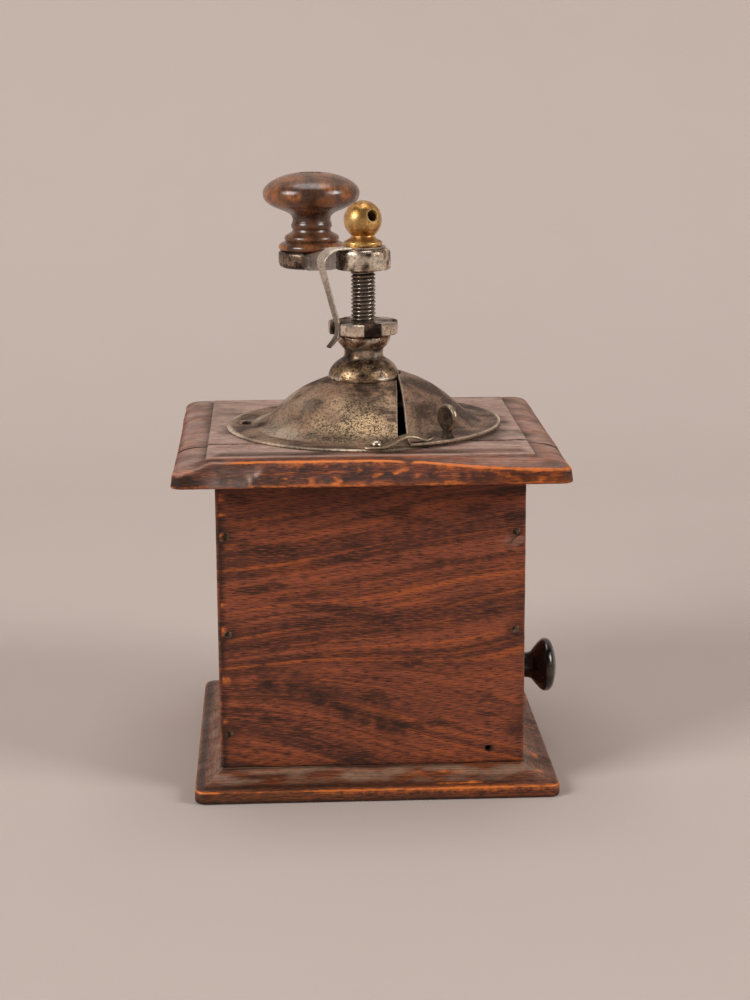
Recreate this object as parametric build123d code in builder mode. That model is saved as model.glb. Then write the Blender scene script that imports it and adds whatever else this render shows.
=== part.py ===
import os
from math import asin, cos, degrees, radians, sin, sqrt, tan

from build123d import *

os.makedirs("parts", exist_ok=True)

# Hand crank coffee grinder in millimetres.
# The origin is on the underside of the base, on the spindle's axis.
# +X points to the drawer, -Y to the front panel, +Z up.

# Fits
running_gap = 0.05  # radial, turning pieces
seat_gap = 0.02  # radial, pieces that stay put
flat_gap = 0.1  # axial, between turning faces
slide_gap = 0.4  # drawer in its opening
swing_gap = 0.4  # door over the fixed sheet

# Case
box_width = 96.0  # outside, square in plan
panel_thick = 8.0
wall_height = 93.2
base_overhang = 9.5
base_shift = 1.3  # the base sits a little towards the drawer
base_rim = 4.2
base_thick = 8.6
base_corner_r = 1.5
board_overhang = 13.0
board_thick = 7.4
board_rim = 4.1
board_step = 1.0
moulding_width = 10.5
moulding_bulge = 1.0  # how far the ovolo stands out of a straight bevel
board_corner_r = 2.5
bean_hole_step = 2.0  # round the burr's mouth

# Nails
nail_r = 0.7
nail_head_r = 1.3
nail_head_thick = 0.6
nail_length = 16.0
corner_nail_rows = (20.0, 52.5, 84.0)  # heights above the floor
base_nail_r = 0.9
base_nail_head_r = 2.0
base_nail_sink = 0.4
base_nail_length = 20.0
base_nail_spread = 28.0
sheet_nail_r = 0.9
sheet_nail_head_r = 1.8
sheet_nail_head_thick = 1.0
sheet_nail_head_round = 0.6
sheet_nail_length = 6.0

# Hopper dome and its door
sheet_thick = 0.8
flange_r = 45.1
inner_flange_r = 42.6  # under the door
dome_foot_r = 33.6
dome_rise = 17.7
crown_cut = 1.8  # the crown is beaten flat under the bell
foot_fillet = 3.0
dome_edge = 10.65  # the straight edge of the fixed dome, from the axis
dome_edge_deg = -2.7  # where that edge faces
empty_hole_deg = 177.0
empty_hole_r = 1.7
flange_nail_circle_r = 38.6
hopper_nail_degs = (46.0, 110.0)
door_flange_r = 44.6
door_foot_step = 2.0
door_crown_gap = 0.8
door_lap = 0.3  # the closed door laps over the fixed edge
door_ajar_deg = 5.0
door_notch_gap = 0.6  # round the bell
lug_deg = -53.5
lug_circle_r = 41.5
lug_disc_r = 4.3
lug_disc_thick = 2.2
lug_edge = 0.5
lug_stem_r = 1.3
lug_height = 6.4  # disc centre above the door's flange
clip_start_deg = -92.0
clip_foot_deg = 9.0
clip_sweep_deg = 30.0
clip_circle_r = 43.0
clip_width = 4.8
clip_thick = 0.7
keeper_deg = 60.0
keeper_width = 6.0
keeper_reach = 2.6
keeper_foot = 5.0

# Spindle column
spindle_r = 4.0
thread_pitch = 1.25
thread_depth = 0.55
thread_flank = 0.5  # axial, from valley to crest
bell_r = 11.6
bell_rim = 1.0
bell_height = 6.8
neck_r = 6.4
neck_length = 3.3
bead_r = 8.75
bead_length = 4.5
spigot_r = 6.0
washer_r = 9.5
washer_thick = 1.6
nut_r = 11.45
nut_thick = 4.0
notch_count = 5
notch_width = 6.1
notch_depth = 2.0
nut_edge = 0.4
thread_exposed = 16.8
hub_r = 8.9
hub_height = 6.7
hub_edge = 1.5
leaf_thick = 0.7
leaf_width = 3.2
leaf_ring_r = 7.0
leaf_deg = -148.0
leaf_shoulder_r = 15.6
leaf_knee_rise = 2.2  # the knee above the hub's underside
leaf_bend_r = 1.4
leaf_notch_gap = 0.3
leaf_tail_r = 14.0
leaf_tail_drop = 3.6
ball_flange_r = 6.3
ball_flange_thick = 1.9
ball_flare_r = 5.5
ball_neck_r = 3.7
ball_r = 6.15
ball_lift = 8.4  # ball centre above the underside of its flange
cross_hole_r = 1.65
cross_hole_deg = -58.0
cross_hole_rise_deg = 17.0
spindle_end_r = 2.7
spindle_in_ball = 4.2

# Crank and knob
crank_radius = 105.0
crank_deg = 98.0
arm_thick = 6.2
arm_drop = 11.3
arm_hub_width = 13.0
arm_eye_width = 10.0
arm_drop_start = 12.0
arm_drop_length = 80.0
arm_bend_r = 12.0
eye_r = 12.4
pin_r = 3.0
pin_head_r = 4.4
pin_head_thick = 1.4
pin_head_round = 0.7
knob_float = 0.3  # between the eye and the knob
knob_height = 28.4
knob_cap_r = 18.0
knob_neck_r = 7.1
knob_bead_r = 10.2
knob_foot_r = 12.4
knob_foot_round = 0.6
knob_foot_height = 2.4  # heights above the knob's underside
knob_bead_bottom = 3.4
knob_bead_top = 5.4
knob_waist = 7.7
knob_neck_top = 10.65
knob_neck_bulge = 0.4
knob_flare = 14.1
knob_flare_r = 9.7
knob_rim = 16.7
knob_rim_r = 15.3
knob_widest = 20.7
knob_shoulder = 24.1
knob_shoulder_r = 15.7
knob_brow = 27.3
knob_brow_r = 9.0

# Burrs
ear_thick = 3.0
ear_width = 14.0
ear_gap = 3.0  # to the panels
burr_wall = 3.0
burr_depth = 34.0
burr_ring_depth = 8.0
burr_ring_r = 15.3
grind_gap = 0.6
inner_burr_top_r = 9.0
inner_burr_drop = 4.0
flute_count = 8
flute_width = 2.2
flute_depth = 1.2
burr_pin_r = 1.5
bridge_thick = 3.2
bridge_width = 12.0
bridge_leg_gap = 0.8  # to the burr
bridge_drop = 8.0
bearing_boss_r = 8.0
bearing_boss_length = 7.0
spindle_tail = 1.5
screw_r = 1.6
screw_head_r = 3.0
screw_head_thick = 1.6
screw_bite = 5.0
screw_edge = 2.6  # from the ear's end
screw_head_gap = 0.4

# Drawer
drawer_height = 34.1
drawer_proud = 0.8
drawer_board = 5.0
drawer_bottom_thick = 3.0
drawer_bottom_lift = 0.8
drawer_side_height = 29.0
drawer_nail_rows = (8.7, 21.8)  # above the drawer's underside
drawer_nail_length = 15.0
drawer_end_gap = 4.0  # behind the shut drawer
drawer_lift = 0.3
pull_reach = 15.5
pull_seat_r = 5.4
pull_seat = 1.2  # distances from the drawer's face
pull_waist = 5.0
pull_waist_r = 4.2
pull_flare = 8.4
pull_flare_r = 6.4
pull_widest = 11.3
pull_head_r = 9.0
pull_rim = 13.95
pull_rim_r = 7.6
pull_screw_r = 1.6
pull_screw_head_r = 3.2
pull_screw_head_thick = 1.2
pull_screw_bite = 8.0

# Levels and widths that follow
half_box = box_width / 2
inner_half = half_box - panel_thick
nail_line = half_box - panel_thick / 2
board_bottom = base_thick + wall_height
board_top = board_bottom + board_thick
half_board = half_box + board_overhang
half_flat = half_board - moulding_width
half_base = half_box + base_overhang
flange_top = board_top + sheet_thick
dome_r = (dome_foot_r**2 + dome_rise**2) / (2 * dome_rise)
dome_centre = board_top + dome_rise - dome_r
crown = board_top + dome_rise - crown_cut
door_flange_bottom = flange_top + swing_gap
door_flange_top = door_flange_bottom + sheet_thick
door_foot_r = dome_foot_r + door_foot_step
door_crown = board_top + dome_rise + door_crown_gap + sheet_thick
door_rise = door_crown - door_flange_bottom
door_r = (door_foot_r**2 + door_rise**2) / (2 * door_rise)
door_centre = door_crown - door_r
clip_bottom = door_flange_top + swing_gap
clip_top = clip_bottom + clip_thick
bell_top = crown + bell_height
bead_bottom = bell_top + neck_length
collar_top = bead_bottom + bead_length
nut_bottom = collar_top + flat_gap
nut_top = nut_bottom + nut_thick
hub_bottom = nut_top + thread_exposed
hub_top = hub_bottom + hub_height
ball_seat = hub_top + leaf_thick
ball_centre = ball_seat + ball_lift
spindle_top = ball_seat + spindle_in_ball
arm_middle = hub_bottom + hub_height / 2
eye_middle = arm_middle - arm_drop
eye_top = eye_middle + arm_thick / 2
eye_bottom = eye_middle - arm_thick / 2
knob_bottom = eye_top + knob_float
knob_top = knob_bottom + knob_height
ear_reach = inner_half - ear_gap
screw_y = ear_reach - screw_edge
bridge_leg_y = screw_y - screw_head_r - screw_head_gap
burr_mouth_r = bridge_leg_y - bridge_thick - bridge_leg_gap - burr_wall
bean_hole_r = burr_mouth_r + bean_hole_step
burr_bottom = board_bottom - burr_depth
ear_bottom = board_bottom - ear_thick
bridge_top = burr_bottom - bridge_drop + bridge_thick
bridge_bottom = bridge_top - bridge_thick
spindle_bottom = bridge_bottom - spindle_tail
drawer_bottom_z = base_thick + drawer_lift
drawer_half = inner_half - slide_gap
drawer_length = 2 * inner_half - drawer_end_gap
drawer_face = half_box + drawer_proud
pull_z = drawer_bottom_z + drawer_height / 2
pull_end = drawer_face + pull_reach
rail_bottom = drawer_bottom_z + drawer_height + slide_gap


def direction(angle: float) -> Vector:
    """Unit vector in plan, the angle in degrees from +X."""
    return Vector(cos(radians(angle)), sin(radians(angle)), 0)


def radial_plane(angle: float) -> Plane:
    """Upright plane through the axis: local x runs outwards, local y up."""
    outward = direction(angle)
    return Plane(origin=(0, 0, 0), x_dir=outward, z_dir=outward.cross(Vector(0, 0, 1)))


def on_circle(radius: float, angle: float) -> tuple:
    """Plan coordinates of a point on a circle about the axis."""
    return (radius * cos(radians(angle)), radius * sin(radians(angle)))


def finish(builder: BuildPart, name: str) -> None:
    """Label a finished piece and write its file."""
    builder.part.label = name
    export_step(builder.part, f"parts/{name}.step")


corner_nail_points = [(side * nail_line, z) for side in (-1, 1) for z in corner_nail_rows]
rail_nail_points = [(x, z) for x, z in corner_nail_points if x < 0 or z > rail_bottom + nail_head_r]
base_nail_points = [(x, y) for x in (-base_nail_spread, base_nail_spread) for y in (-nail_line, nail_line)]
base_nail_points += [(-nail_line, 0)]
clip_nail_point = on_circle(clip_circle_r, clip_start_deg + clip_foot_deg / 2)
keeper_inner_r = door_flange_r + 2 * swing_gap
keeper_nail_point = on_circle(keeper_inner_r + sheet_thick + keeper_foot / 2, keeper_deg)
hopper_nail_points = [on_circle(flange_nail_circle_r, angle) for angle in hopper_nail_degs]
empty_hole_point = on_circle(flange_nail_circle_r, empty_hole_deg)
board_nail_points = hopper_nail_points + [clip_nail_point, keeper_nail_point, empty_hole_point]
screw_points = [(0, -screw_y), (0, screw_y)]
knob_point = on_circle(crank_radius, crank_deg)

# Base board: two bevelled sections crossed, so the corners are mitred
with BuildPart() as base_board:
    with BuildSketch(Plane.XZ):
        with BuildLine():
            Polyline(
                (base_shift - half_base, 0),
                (base_shift + half_base, 0),
                (base_shift + half_base, base_rim),
                (half_box, base_thick),
                (-half_box, base_thick),
                (base_shift - half_base, base_rim),
                close=True,
            )
        make_face()
    extrude(amount=half_base, both=True)
    with BuildSketch(Plane.YZ.offset(base_shift)):
        with BuildLine():
            Polyline(
                (-half_base, 0),
                (half_base, 0),
                (half_base, base_rim),
                (half_box, base_thick),
                (-half_box, base_thick),
                (-half_base, base_rim),
                close=True,
            )
        make_face()
    extrude(amount=half_base, both=True, mode=Mode.INTERSECT)
    with BuildSketch():
        with Locations((base_shift, 0)):
            RectangleRounded(2 * half_base, 2 * half_base, base_corner_r)
    extrude(amount=base_thick, mode=Mode.INTERSECT)
    with BuildSketch():
        with Locations(*base_nail_points):
            Circle(base_nail_r + seat_gap)
    extrude(amount=base_thick, mode=Mode.SUBTRACT)
    with BuildSketch():
        with Locations(*base_nail_points):
            Circle(base_nail_head_r + seat_gap)
    extrude(amount=base_nail_sink + nail_head_thick, mode=Mode.SUBTRACT)
finish(base_board, "base_board")

# Front and back panels run the full width and are nailed into the sides
with BuildPart() as front_panel:
    with BuildSketch(Plane.XY.offset(base_thick)):
        with Locations((0, panel_thick / 2 - half_box)):
            Rectangle(box_width, panel_thick)
    extrude(amount=wall_height)
    with BuildSketch(Plane.XZ.offset(half_box)):
        with Locations(*rail_nail_points):
            Circle(nail_r + seat_gap)
    extrude(amount=-panel_thick, mode=Mode.SUBTRACT)
    with BuildSketch(Plane.XZ.offset(half_box)):
        with Locations(*rail_nail_points):
            Circle(nail_head_r + seat_gap)
    extrude(amount=-nail_head_thick, mode=Mode.SUBTRACT)
    with BuildSketch(Plane.XY.offset(base_thick)):
        with Locations(*[point for point in base_nail_points if point[1] < 0]):
            Circle(base_nail_r + seat_gap)
    extrude(amount=base_nail_length, mode=Mode.SUBTRACT)
finish(front_panel, "front_panel")

with BuildPart() as back_panel:
    add(front_panel.part.mirror(Plane.XZ))
finish(back_panel, "back_panel")

with BuildPart() as left_panel:
    with BuildSketch(Plane.XY.offset(base_thick)):
        with Locations((-nail_line, 0)):
            Rectangle(panel_thick, 2 * inner_half)
    extrude(amount=wall_height)
    with BuildSketch(Plane.XZ.offset(inner_half)):
        with Locations(*[point for point in rail_nail_points if point[0] < 0]):
            Circle(nail_r + seat_gap)
    extrude(amount=panel_thick - nail_length, mode=Mode.SUBTRACT)
    mirror(left_panel.part, about=Plane.XZ, mode=Mode.INTERSECT)
    with BuildSketch(Plane.XY.offset(base_thick)):
        with Locations(*[point for point in base_nail_points if point[1] == 0]):
            Circle(base_nail_r + seat_gap)
    extrude(amount=base_nail_length, mode=Mode.SUBTRACT)
finish(left_panel, "left_panel")

# The rail closes the drawer side above the drawer
with BuildPart() as drawer_rail:
    with BuildSketch(Plane.XY.offset(rail_bottom)):
        with Locations((nail_line, 0)):
            Rectangle(panel_thick, 2 * inner_half)
    extrude(amount=board_bottom - rail_bottom)
    with BuildSketch(Plane.XZ.offset(inner_half)):
        with Locations(*[point for point in rail_nail_points if point[0] > 0]):
            Circle(nail_r + seat_gap)
    extrude(amount=panel_thick - nail_length, mode=Mode.SUBTRACT)
    mirror(drawer_rail.part, about=Plane.XZ, mode=Mode.INTERSECT)
finish(drawer_rail, "drawer_rail")

with BuildPart() as corner_nails:
    with BuildSketch(Plane.XZ.offset(half_box)):
        with Locations(*rail_nail_points):
            Circle(nail_r)
    extrude(amount=-nail_length)
    with BuildSketch(Plane.XZ.offset(half_box)):
        with Locations(*rail_nail_points):
            Circle(nail_head_r)
    extrude(amount=-nail_head_thick)
    mirror(about=Plane.XZ)
finish(corner_nails, "corner_nails")

with BuildPart() as base_nails:
    with BuildSketch(Plane.XY.offset(base_nail_sink)):
        with Locations(*base_nail_points):
            Circle(base_nail_r)
    extrude(amount=base_nail_length)
    with BuildSketch(Plane.XY.offset(base_nail_sink)):
        with Locations(*base_nail_points):
            Circle(base_nail_head_r)
    extrude(amount=nail_head_thick)
finish(base_nails, "base_nails")

# Top board: a flat field, a small step and an ovolo down to the rim
ovolo_middle = (
    half_board - moulding_width / 2 + moulding_bulge / 2,
    board_bottom + (board_rim + board_thick - board_step) / 2 + moulding_bulge,
)
with BuildPart() as top_board:
    for section, joining in ((Plane.XZ, Mode.ADD), (Plane.YZ, Mode.INTERSECT)):
        with BuildSketch(section):
            with BuildLine():
                Polyline(
                    (0, board_top),
                    (half_flat, board_top),
                    (half_flat, board_top - board_step),
                )
                ThreePointArc(
                    (half_flat, board_top - board_step),
                    ovolo_middle,
                    (half_board, board_bottom + board_rim),
                )
                Polyline(
                    (half_board, board_bottom + board_rim),
                    (half_board, board_bottom),
                    (0, board_bottom),
                )
                mirror(about=Plane.YZ)
            make_face()
        extrude(amount=half_board, both=True, mode=joining)
    rim_corners = top_board.edges().filter_by(Axis.Z).filter_by(lambda edge: abs(edge.center().X) > half_flat)
    fillet(rim_corners, board_corner_r)
    with BuildSketch(Plane.XY.offset(board_bottom)):
        Circle(bean_hole_r)
    extrude(amount=board_thick, mode=Mode.SUBTRACT)
    with BuildSketch(Plane.XY.offset(board_top)):
        with Locations(*board_nail_points):
            Circle(sheet_nail_r + seat_gap)
    extrude(amount=-sheet_nail_length, mode=Mode.SUBTRACT)
    with BuildSketch(Plane.XY.offset(board_bottom)):
        with Locations(*screw_points):
            Circle(screw_r + seat_gap)
    extrude(amount=screw_bite, mode=Mode.SUBTRACT)
finish(top_board, "top_board")

# Fixed hopper dome: a spun sheet with a flange, cut away on the drawer side
dome_inner_r = dome_r - sheet_thick
dome_outer_foot = sqrt(dome_r**2 - (flange_top - dome_centre) ** 2)
dome_inner_foot = sqrt(dome_inner_r**2 - (board_top - dome_centre) ** 2)
crown_outer_r = sqrt(dome_r**2 - (crown - dome_centre) ** 2)
crown_inner_r = sqrt(dome_inner_r**2 - (crown - sheet_thick - dome_centre) ** 2)
spigot_hole_r = spigot_r + seat_gap
dome_edge_place = Location(direction(dome_edge_deg) * dome_edge, (0, 0, dome_edge_deg))


def shell_point(radius: float, centre: float, start_r: float, end_r: float) -> tuple:
    """Point of a dome's section half way between two distances from the axis."""
    middle = radians((degrees(asin(start_r / radius)) + degrees(asin(end_r / radius))) / 2)
    return (radius * sin(middle), centre + radius * cos(middle))


with BuildPart() as hopper_dome:
    with BuildSketch(Plane.XZ) as dome_section:
        with BuildLine():
            Polyline(
                (dome_inner_foot, board_top),
                (flange_r, board_top),
                (flange_r, flange_top),
                (dome_outer_foot, flange_top),
            )
            ThreePointArc(
                (dome_outer_foot, flange_top),
                shell_point(dome_r, dome_centre, dome_outer_foot, crown_outer_r),
                (crown_outer_r, crown),
            )
            Polyline(
                (crown_outer_r, crown),
                (spigot_hole_r, crown),
                (spigot_hole_r, crown - sheet_thick),
                (crown_inner_r, crown - sheet_thick),
            )
            ThreePointArc(
                (crown_inner_r, crown - sheet_thick),
                shell_point(dome_inner_r, dome_centre, dome_inner_foot, crown_inner_r),
                (dome_inner_foot, board_top),
            )
        make_face()
        fillet(dome_section.vertices().sort_by_distance((dome_outer_foot, flange_top))[0], foot_fillet)
    revolve(axis=Axis.Z)
    with BuildSketch(Plane.XY.offset(flange_top)):
        with Locations(dome_edge_place):
            Rectangle(flange_r, 2 * flange_r, align=(Align.MIN, Align.CENTER))
    extrude(amount=dome_rise, mode=Mode.SUBTRACT)
    with BuildSketch(Plane.XY.offset(board_top)):
        with Locations(dome_edge_place):
            Rectangle(flange_r, 2 * flange_r, align=(Align.MIN, Align.CENTER))
        Circle(inner_flange_r, mode=Mode.SUBTRACT)
    extrude(amount=sheet_thick, mode=Mode.SUBTRACT)
    with BuildSketch(Plane.XY.offset(board_top)):
        with Locations(*hopper_nail_points):
            Circle(sheet_nail_head_r + seat_gap)
        with Locations(empty_hole_point):
            Circle(empty_hole_r)
        with Locations(clip_nail_point):
            Circle(sheet_nail_r + seat_gap)
    extrude(amount=sheet_thick, mode=Mode.SUBTRACT)
finish(hopper_dome, "hopper_dome")

with BuildPart() as hopper_nails:
    with BuildSketch(Plane.XY.offset(board_top)):
        with Locations(*hopper_nail_points):
            Circle(sheet_nail_r)
    extrude(amount=-sheet_nail_length)
    with BuildSketch(Plane.XY.offset(board_top)):
        with Locations(*hopper_nail_points):
            Circle(sheet_nail_head_r)
    extrude(amount=sheet_thick)
finish(hopper_nails, "hopper_nails")

# Clip: a strip nailed to the fixed flange that reaches over the door's flange
with BuildPart() as door_clip:
    with BuildSketch(radial_plane(clip_start_deg)):
        with Locations((clip_circle_r, clip_bottom)):
            Rectangle(clip_width, clip_thick, align=(Align.CENTER, Align.MIN))
    revolve(axis=Axis.Z, revolution_arc=clip_sweep_deg)
    with BuildSketch(radial_plane(clip_start_deg)):
        with Locations((clip_circle_r, flange_top)):
            Rectangle(clip_width, clip_top - flange_top, align=(Align.CENTER, Align.MIN))
    revolve(axis=Axis.Z, revolution_arc=clip_foot_deg)
    with BuildSketch(Plane.XY.offset(flange_top)):
        with Locations(clip_nail_point):
            Circle(sheet_nail_r + seat_gap)
    extrude(amount=clip_top - flange_top, mode=Mode.SUBTRACT)
finish(door_clip, "door_clip")

with BuildPart() as clip_nail:
    with BuildSketch(Plane.XY.offset(clip_top)):
        with Locations(clip_nail_point):
            Circle(sheet_nail_r)
    extrude(amount=board_top - sheet_nail_length - clip_top)
    with BuildSketch(Plane.XY.offset(clip_top)):
        with Locations(clip_nail_point):
            Circle(sheet_nail_head_r)
    extrude(amount=sheet_nail_head_thick)
    fillet(clip_nail.edges().group_by(Axis.Z)[-1], sheet_nail_head_round)
finish(clip_nail, "clip_nail")

# Keeper: a bent tab behind the dome that holds the door's flange down
with BuildPart() as door_keeper:
    with BuildSketch(radial_plane(keeper_deg)):
        with BuildLine():
            Polyline(
                (keeper_inner_r + sheet_thick + keeper_foot, board_top),
                (keeper_inner_r, board_top),
                (keeper_inner_r, clip_bottom),
                (door_flange_r - keeper_reach, clip_bottom),
                (door_flange_r - keeper_reach, clip_bottom + sheet_thick),
                (keeper_inner_r + sheet_thick, clip_bottom + sheet_thick),
                (keeper_inner_r + sheet_thick, board_top + sheet_thick),
                (keeper_inner_r + sheet_thick + keeper_foot, board_top + sheet_thick),
                close=True,
            )
        make_face()
    extrude(amount=keeper_width / 2, both=True)
    with BuildSketch(Plane.XY.offset(board_top)):
        with Locations(keeper_nail_point):
            Circle(sheet_nail_r + seat_gap)
    extrude(amount=sheet_thick, mode=Mode.SUBTRACT)
finish(door_keeper, "door_keeper")

with BuildPart() as keeper_nail:
    with BuildSketch(Plane.XY.offset(flange_top)):
        with Locations(keeper_nail_point):
            Circle(sheet_nail_r)
    extrude(amount=-sheet_thick - sheet_nail_length)
    with BuildSketch(Plane.XY.offset(flange_top)):
        with Locations(keeper_nail_point):
            Circle(sheet_nail_head_r)
    extrude(amount=sheet_nail_head_thick)
    fillet(keeper_nail.edges().group_by(Axis.Z)[-1], sheet_nail_head_round)
finish(keeper_nail, "keeper_nail")

# Dome door: a larger shell over the fixed one, turned to its resting place
door_inner_r = door_r - sheet_thick
door_outer_foot = sqrt(door_r**2 - (door_flange_top - door_centre) ** 2)
door_inner_foot = sqrt(door_inner_r**2 - (door_flange_bottom - door_centre) ** 2)
door_notch_r = bell_r + door_notch_gap
door_notch_top = door_centre + sqrt(door_r**2 - door_notch_r**2)
door_notch_under = door_centre + sqrt(door_inner_r**2 - door_notch_r**2)
door_facing = direction(dome_edge_deg + door_ajar_deg)
with BuildPart() as dome_door:
    with BuildSketch(Plane.XZ) as door_section:
        with BuildLine():
            Polyline(
                (door_inner_foot, door_flange_bottom),
                (door_flange_r, door_flange_bottom),
                (door_flange_r, door_flange_top),
                (door_outer_foot, door_flange_top),
            )
            ThreePointArc(
                (door_outer_foot, door_flange_top),
                shell_point(door_r, door_centre, door_outer_foot, door_notch_r),
                (door_notch_r, door_notch_top),
            )
            Line((door_notch_r, door_notch_top), (door_notch_r, door_notch_under))
            ThreePointArc(
                (door_notch_r, door_notch_under),
                shell_point(door_inner_r, door_centre, door_inner_foot, door_notch_r),
                (door_inner_foot, door_flange_bottom),
            )
        make_face()
        fillet(door_section.vertices().sort_by_distance((door_outer_foot, door_flange_top))[0], foot_fillet)
    revolve(axis=Axis.Z)
    split(bisect_by=Plane(origin=door_facing * (dome_edge - door_lap), z_dir=door_facing))
finish(dome_door, "dome_door")

# Thumb lug: an upright disc on a short stem
lug_across = direction(lug_deg + 90)
lug_centre = direction(lug_deg) * lug_circle_r + Vector(0, 0, door_flange_top + lug_height)
with BuildPart() as door_lug:
    with BuildSketch(Plane(origin=lug_centre, x_dir=direction(lug_deg), z_dir=lug_across)):
        Circle(lug_disc_r)
    extrude(amount=lug_disc_thick / 2, both=True)
    fillet(door_lug.edges().filter_by(GeomType.CIRCLE), lug_edge)
    with BuildSketch(Plane.XY.offset(door_flange_top)):
        with Locations(on_circle(lug_circle_r, lug_deg)):
            Circle(lug_stem_r)
    extrude(amount=lug_height - lug_disc_r / 2)
finish(door_lug, "door_lug")

# Bearing collar: bell, neck and bead in one turned piece, riveted through the crown
spigot_bottom = crown - sheet_thick - washer_thick
collar_bore_r = spindle_r + running_gap
bell_middle = ((bell_r + neck_r) / 2 + bell_rim, (crown + bell_rim + bell_top) / 2 + bell_rim)
with BuildPart() as bearing_collar:
    with BuildSketch(Plane.XZ):
        with BuildLine():
            Polyline(
                (collar_bore_r, spigot_bottom),
                (spigot_r, spigot_bottom),
                (spigot_r, crown),
                (bell_r, crown),
                (bell_r, crown + bell_rim),
            )
            ThreePointArc((bell_r, crown + bell_rim), bell_middle, (neck_r, bell_top))
            Line((neck_r, bell_top), (neck_r, bead_bottom))
            ThreePointArc(
                (neck_r, bead_bottom),
                (bead_r, bead_bottom + bead_length / 2),
                (neck_r, collar_top),
            )
            Polyline(
                (neck_r, collar_top),
                (collar_bore_r, collar_top),
                (collar_bore_r, spigot_bottom),
            )
        make_face()
    revolve(axis=Axis.Z)
finish(bearing_collar, "bearing_collar")

with BuildPart() as collar_washer:
    with BuildSketch(Plane.XY.offset(spigot_bottom)):
        Circle(washer_r)
        Circle(spigot_r + seat_gap, mode=Mode.SUBTRACT)
    extrude(amount=washer_thick)
finish(collar_washer, "collar_washer")

# Outer burr: a conical ring hung under the top board by two ears
burr_step = burr_bottom + burr_ring_depth
with BuildPart() as outer_burr:
    with BuildSketch(Plane.XZ):
        with BuildLine():
            Polyline(
                (burr_mouth_r, board_bottom),
                (burr_mouth_r + burr_wall, board_bottom),
                (burr_mouth_r + burr_wall, ear_bottom),
                (burr_ring_r + 2 * burr_wall, burr_step),
                (burr_ring_r + burr_wall, burr_bottom),
                (burr_ring_r, burr_bottom),
                (burr_ring_r + burr_wall / 2, burr_step),
                close=True,
            )
        make_face()
    revolve(axis=Axis.Z)
    with BuildSketch(Plane.XY.offset(ear_bottom)):
        Rectangle(ear_width, 2 * ear_reach)
        Circle(burr_mouth_r + burr_wall / 2, mode=Mode.SUBTRACT)
    extrude(amount=ear_thick)
    with BuildSketch(Plane.XY.offset(ear_bottom)):
        with Locations(*screw_points):
            Circle(screw_r + seat_gap)
    extrude(amount=ear_thick, mode=Mode.SUBTRACT)
finish(outer_burr, "outer_burr")

# Bridge: a strap below the burrs with the lower bearing
foot_bottom = ear_bottom - bridge_thick
with BuildPart() as bridge:
    with BuildSketch(Plane.YZ):
        with BuildLine():
            Polyline(
                (0, bridge_bottom),
                (bridge_leg_y, bridge_bottom),
                (bridge_leg_y, foot_bottom),
                (ear_reach, foot_bottom),
                (ear_reach, ear_bottom),
                (bridge_leg_y - bridge_thick, ear_bottom),
                (bridge_leg_y - bridge_thick, bridge_top),
                (0, bridge_top),
            )
            mirror(about=Plane.YZ)
        make_face()
    extrude(amount=bridge_width / 2, both=True)
    with BuildSketch(Plane.XY.offset(bridge_bottom)):
        Circle(bearing_boss_r)
    extrude(amount=bearing_boss_length)
    with BuildSketch(Plane.XY.offset(bridge_bottom)):
        Circle(spindle_r + running_gap)
    extrude(amount=bearing_boss_length, mode=Mode.SUBTRACT)
    with BuildSketch(Plane.XY.offset(foot_bottom)):
        with Locations(*screw_points):
            Circle(screw_r + seat_gap)
    extrude(amount=bridge_thick, mode=Mode.SUBTRACT)
finish(bridge, "bridge")

with BuildPart() as burr_screws:
    with BuildSketch(Plane.XY.offset(foot_bottom)):
        with Locations(*screw_points):
            Circle(screw_r)
    extrude(amount=board_bottom + screw_bite - foot_bottom)
    with BuildSketch(Plane.XY.offset(foot_bottom)):
        with Locations(*screw_points):
            Circle(screw_head_r)
    extrude(amount=-screw_head_thick)
finish(burr_screws, "burr_screws")

# Inner burr: a fluted cone pinned to the spindle
inner_burr_bottom = burr_bottom + grind_gap
inner_burr_top = board_bottom - inner_burr_drop
inner_burr_r = burr_ring_r - grind_gap
burr_pin_z = inner_burr_top - 2 * inner_burr_drop
with BuildPart() as inner_burr:
    with BuildSketch(Plane.XZ):
        with BuildLine():
            Polyline(
                (spindle_r + seat_gap, inner_burr_bottom),
                (inner_burr_r, inner_burr_bottom),
                (inner_burr_r, burr_step),
                (inner_burr_top_r, inner_burr_top),
                (spindle_r + seat_gap, inner_burr_top),
                close=True,
            )
        make_face()
    revolve(axis=Axis.Z)
    with BuildSketch(Plane.XY.offset(inner_burr_bottom)):
        with PolarLocations(inner_burr_r, flute_count):
            Rectangle(2 * flute_depth, flute_width)
    extrude(amount=inner_burr_top - inner_burr_bottom, mode=Mode.SUBTRACT)
    with BuildSketch(Plane.YZ):
        with Locations((0, burr_pin_z)):
            Circle(burr_pin_r + seat_gap)
    extrude(amount=inner_burr_r, both=True, mode=Mode.SUBTRACT)
finish(inner_burr, "inner_burr")

with BuildPart() as burr_pin:
    with BuildSketch(Plane.YZ):
        with Locations((0, burr_pin_z)):
            Circle(burr_pin_r)
    extrude(amount=inner_burr_top_r, both=True)
finish(burr_pin, "burr_pin")

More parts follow.
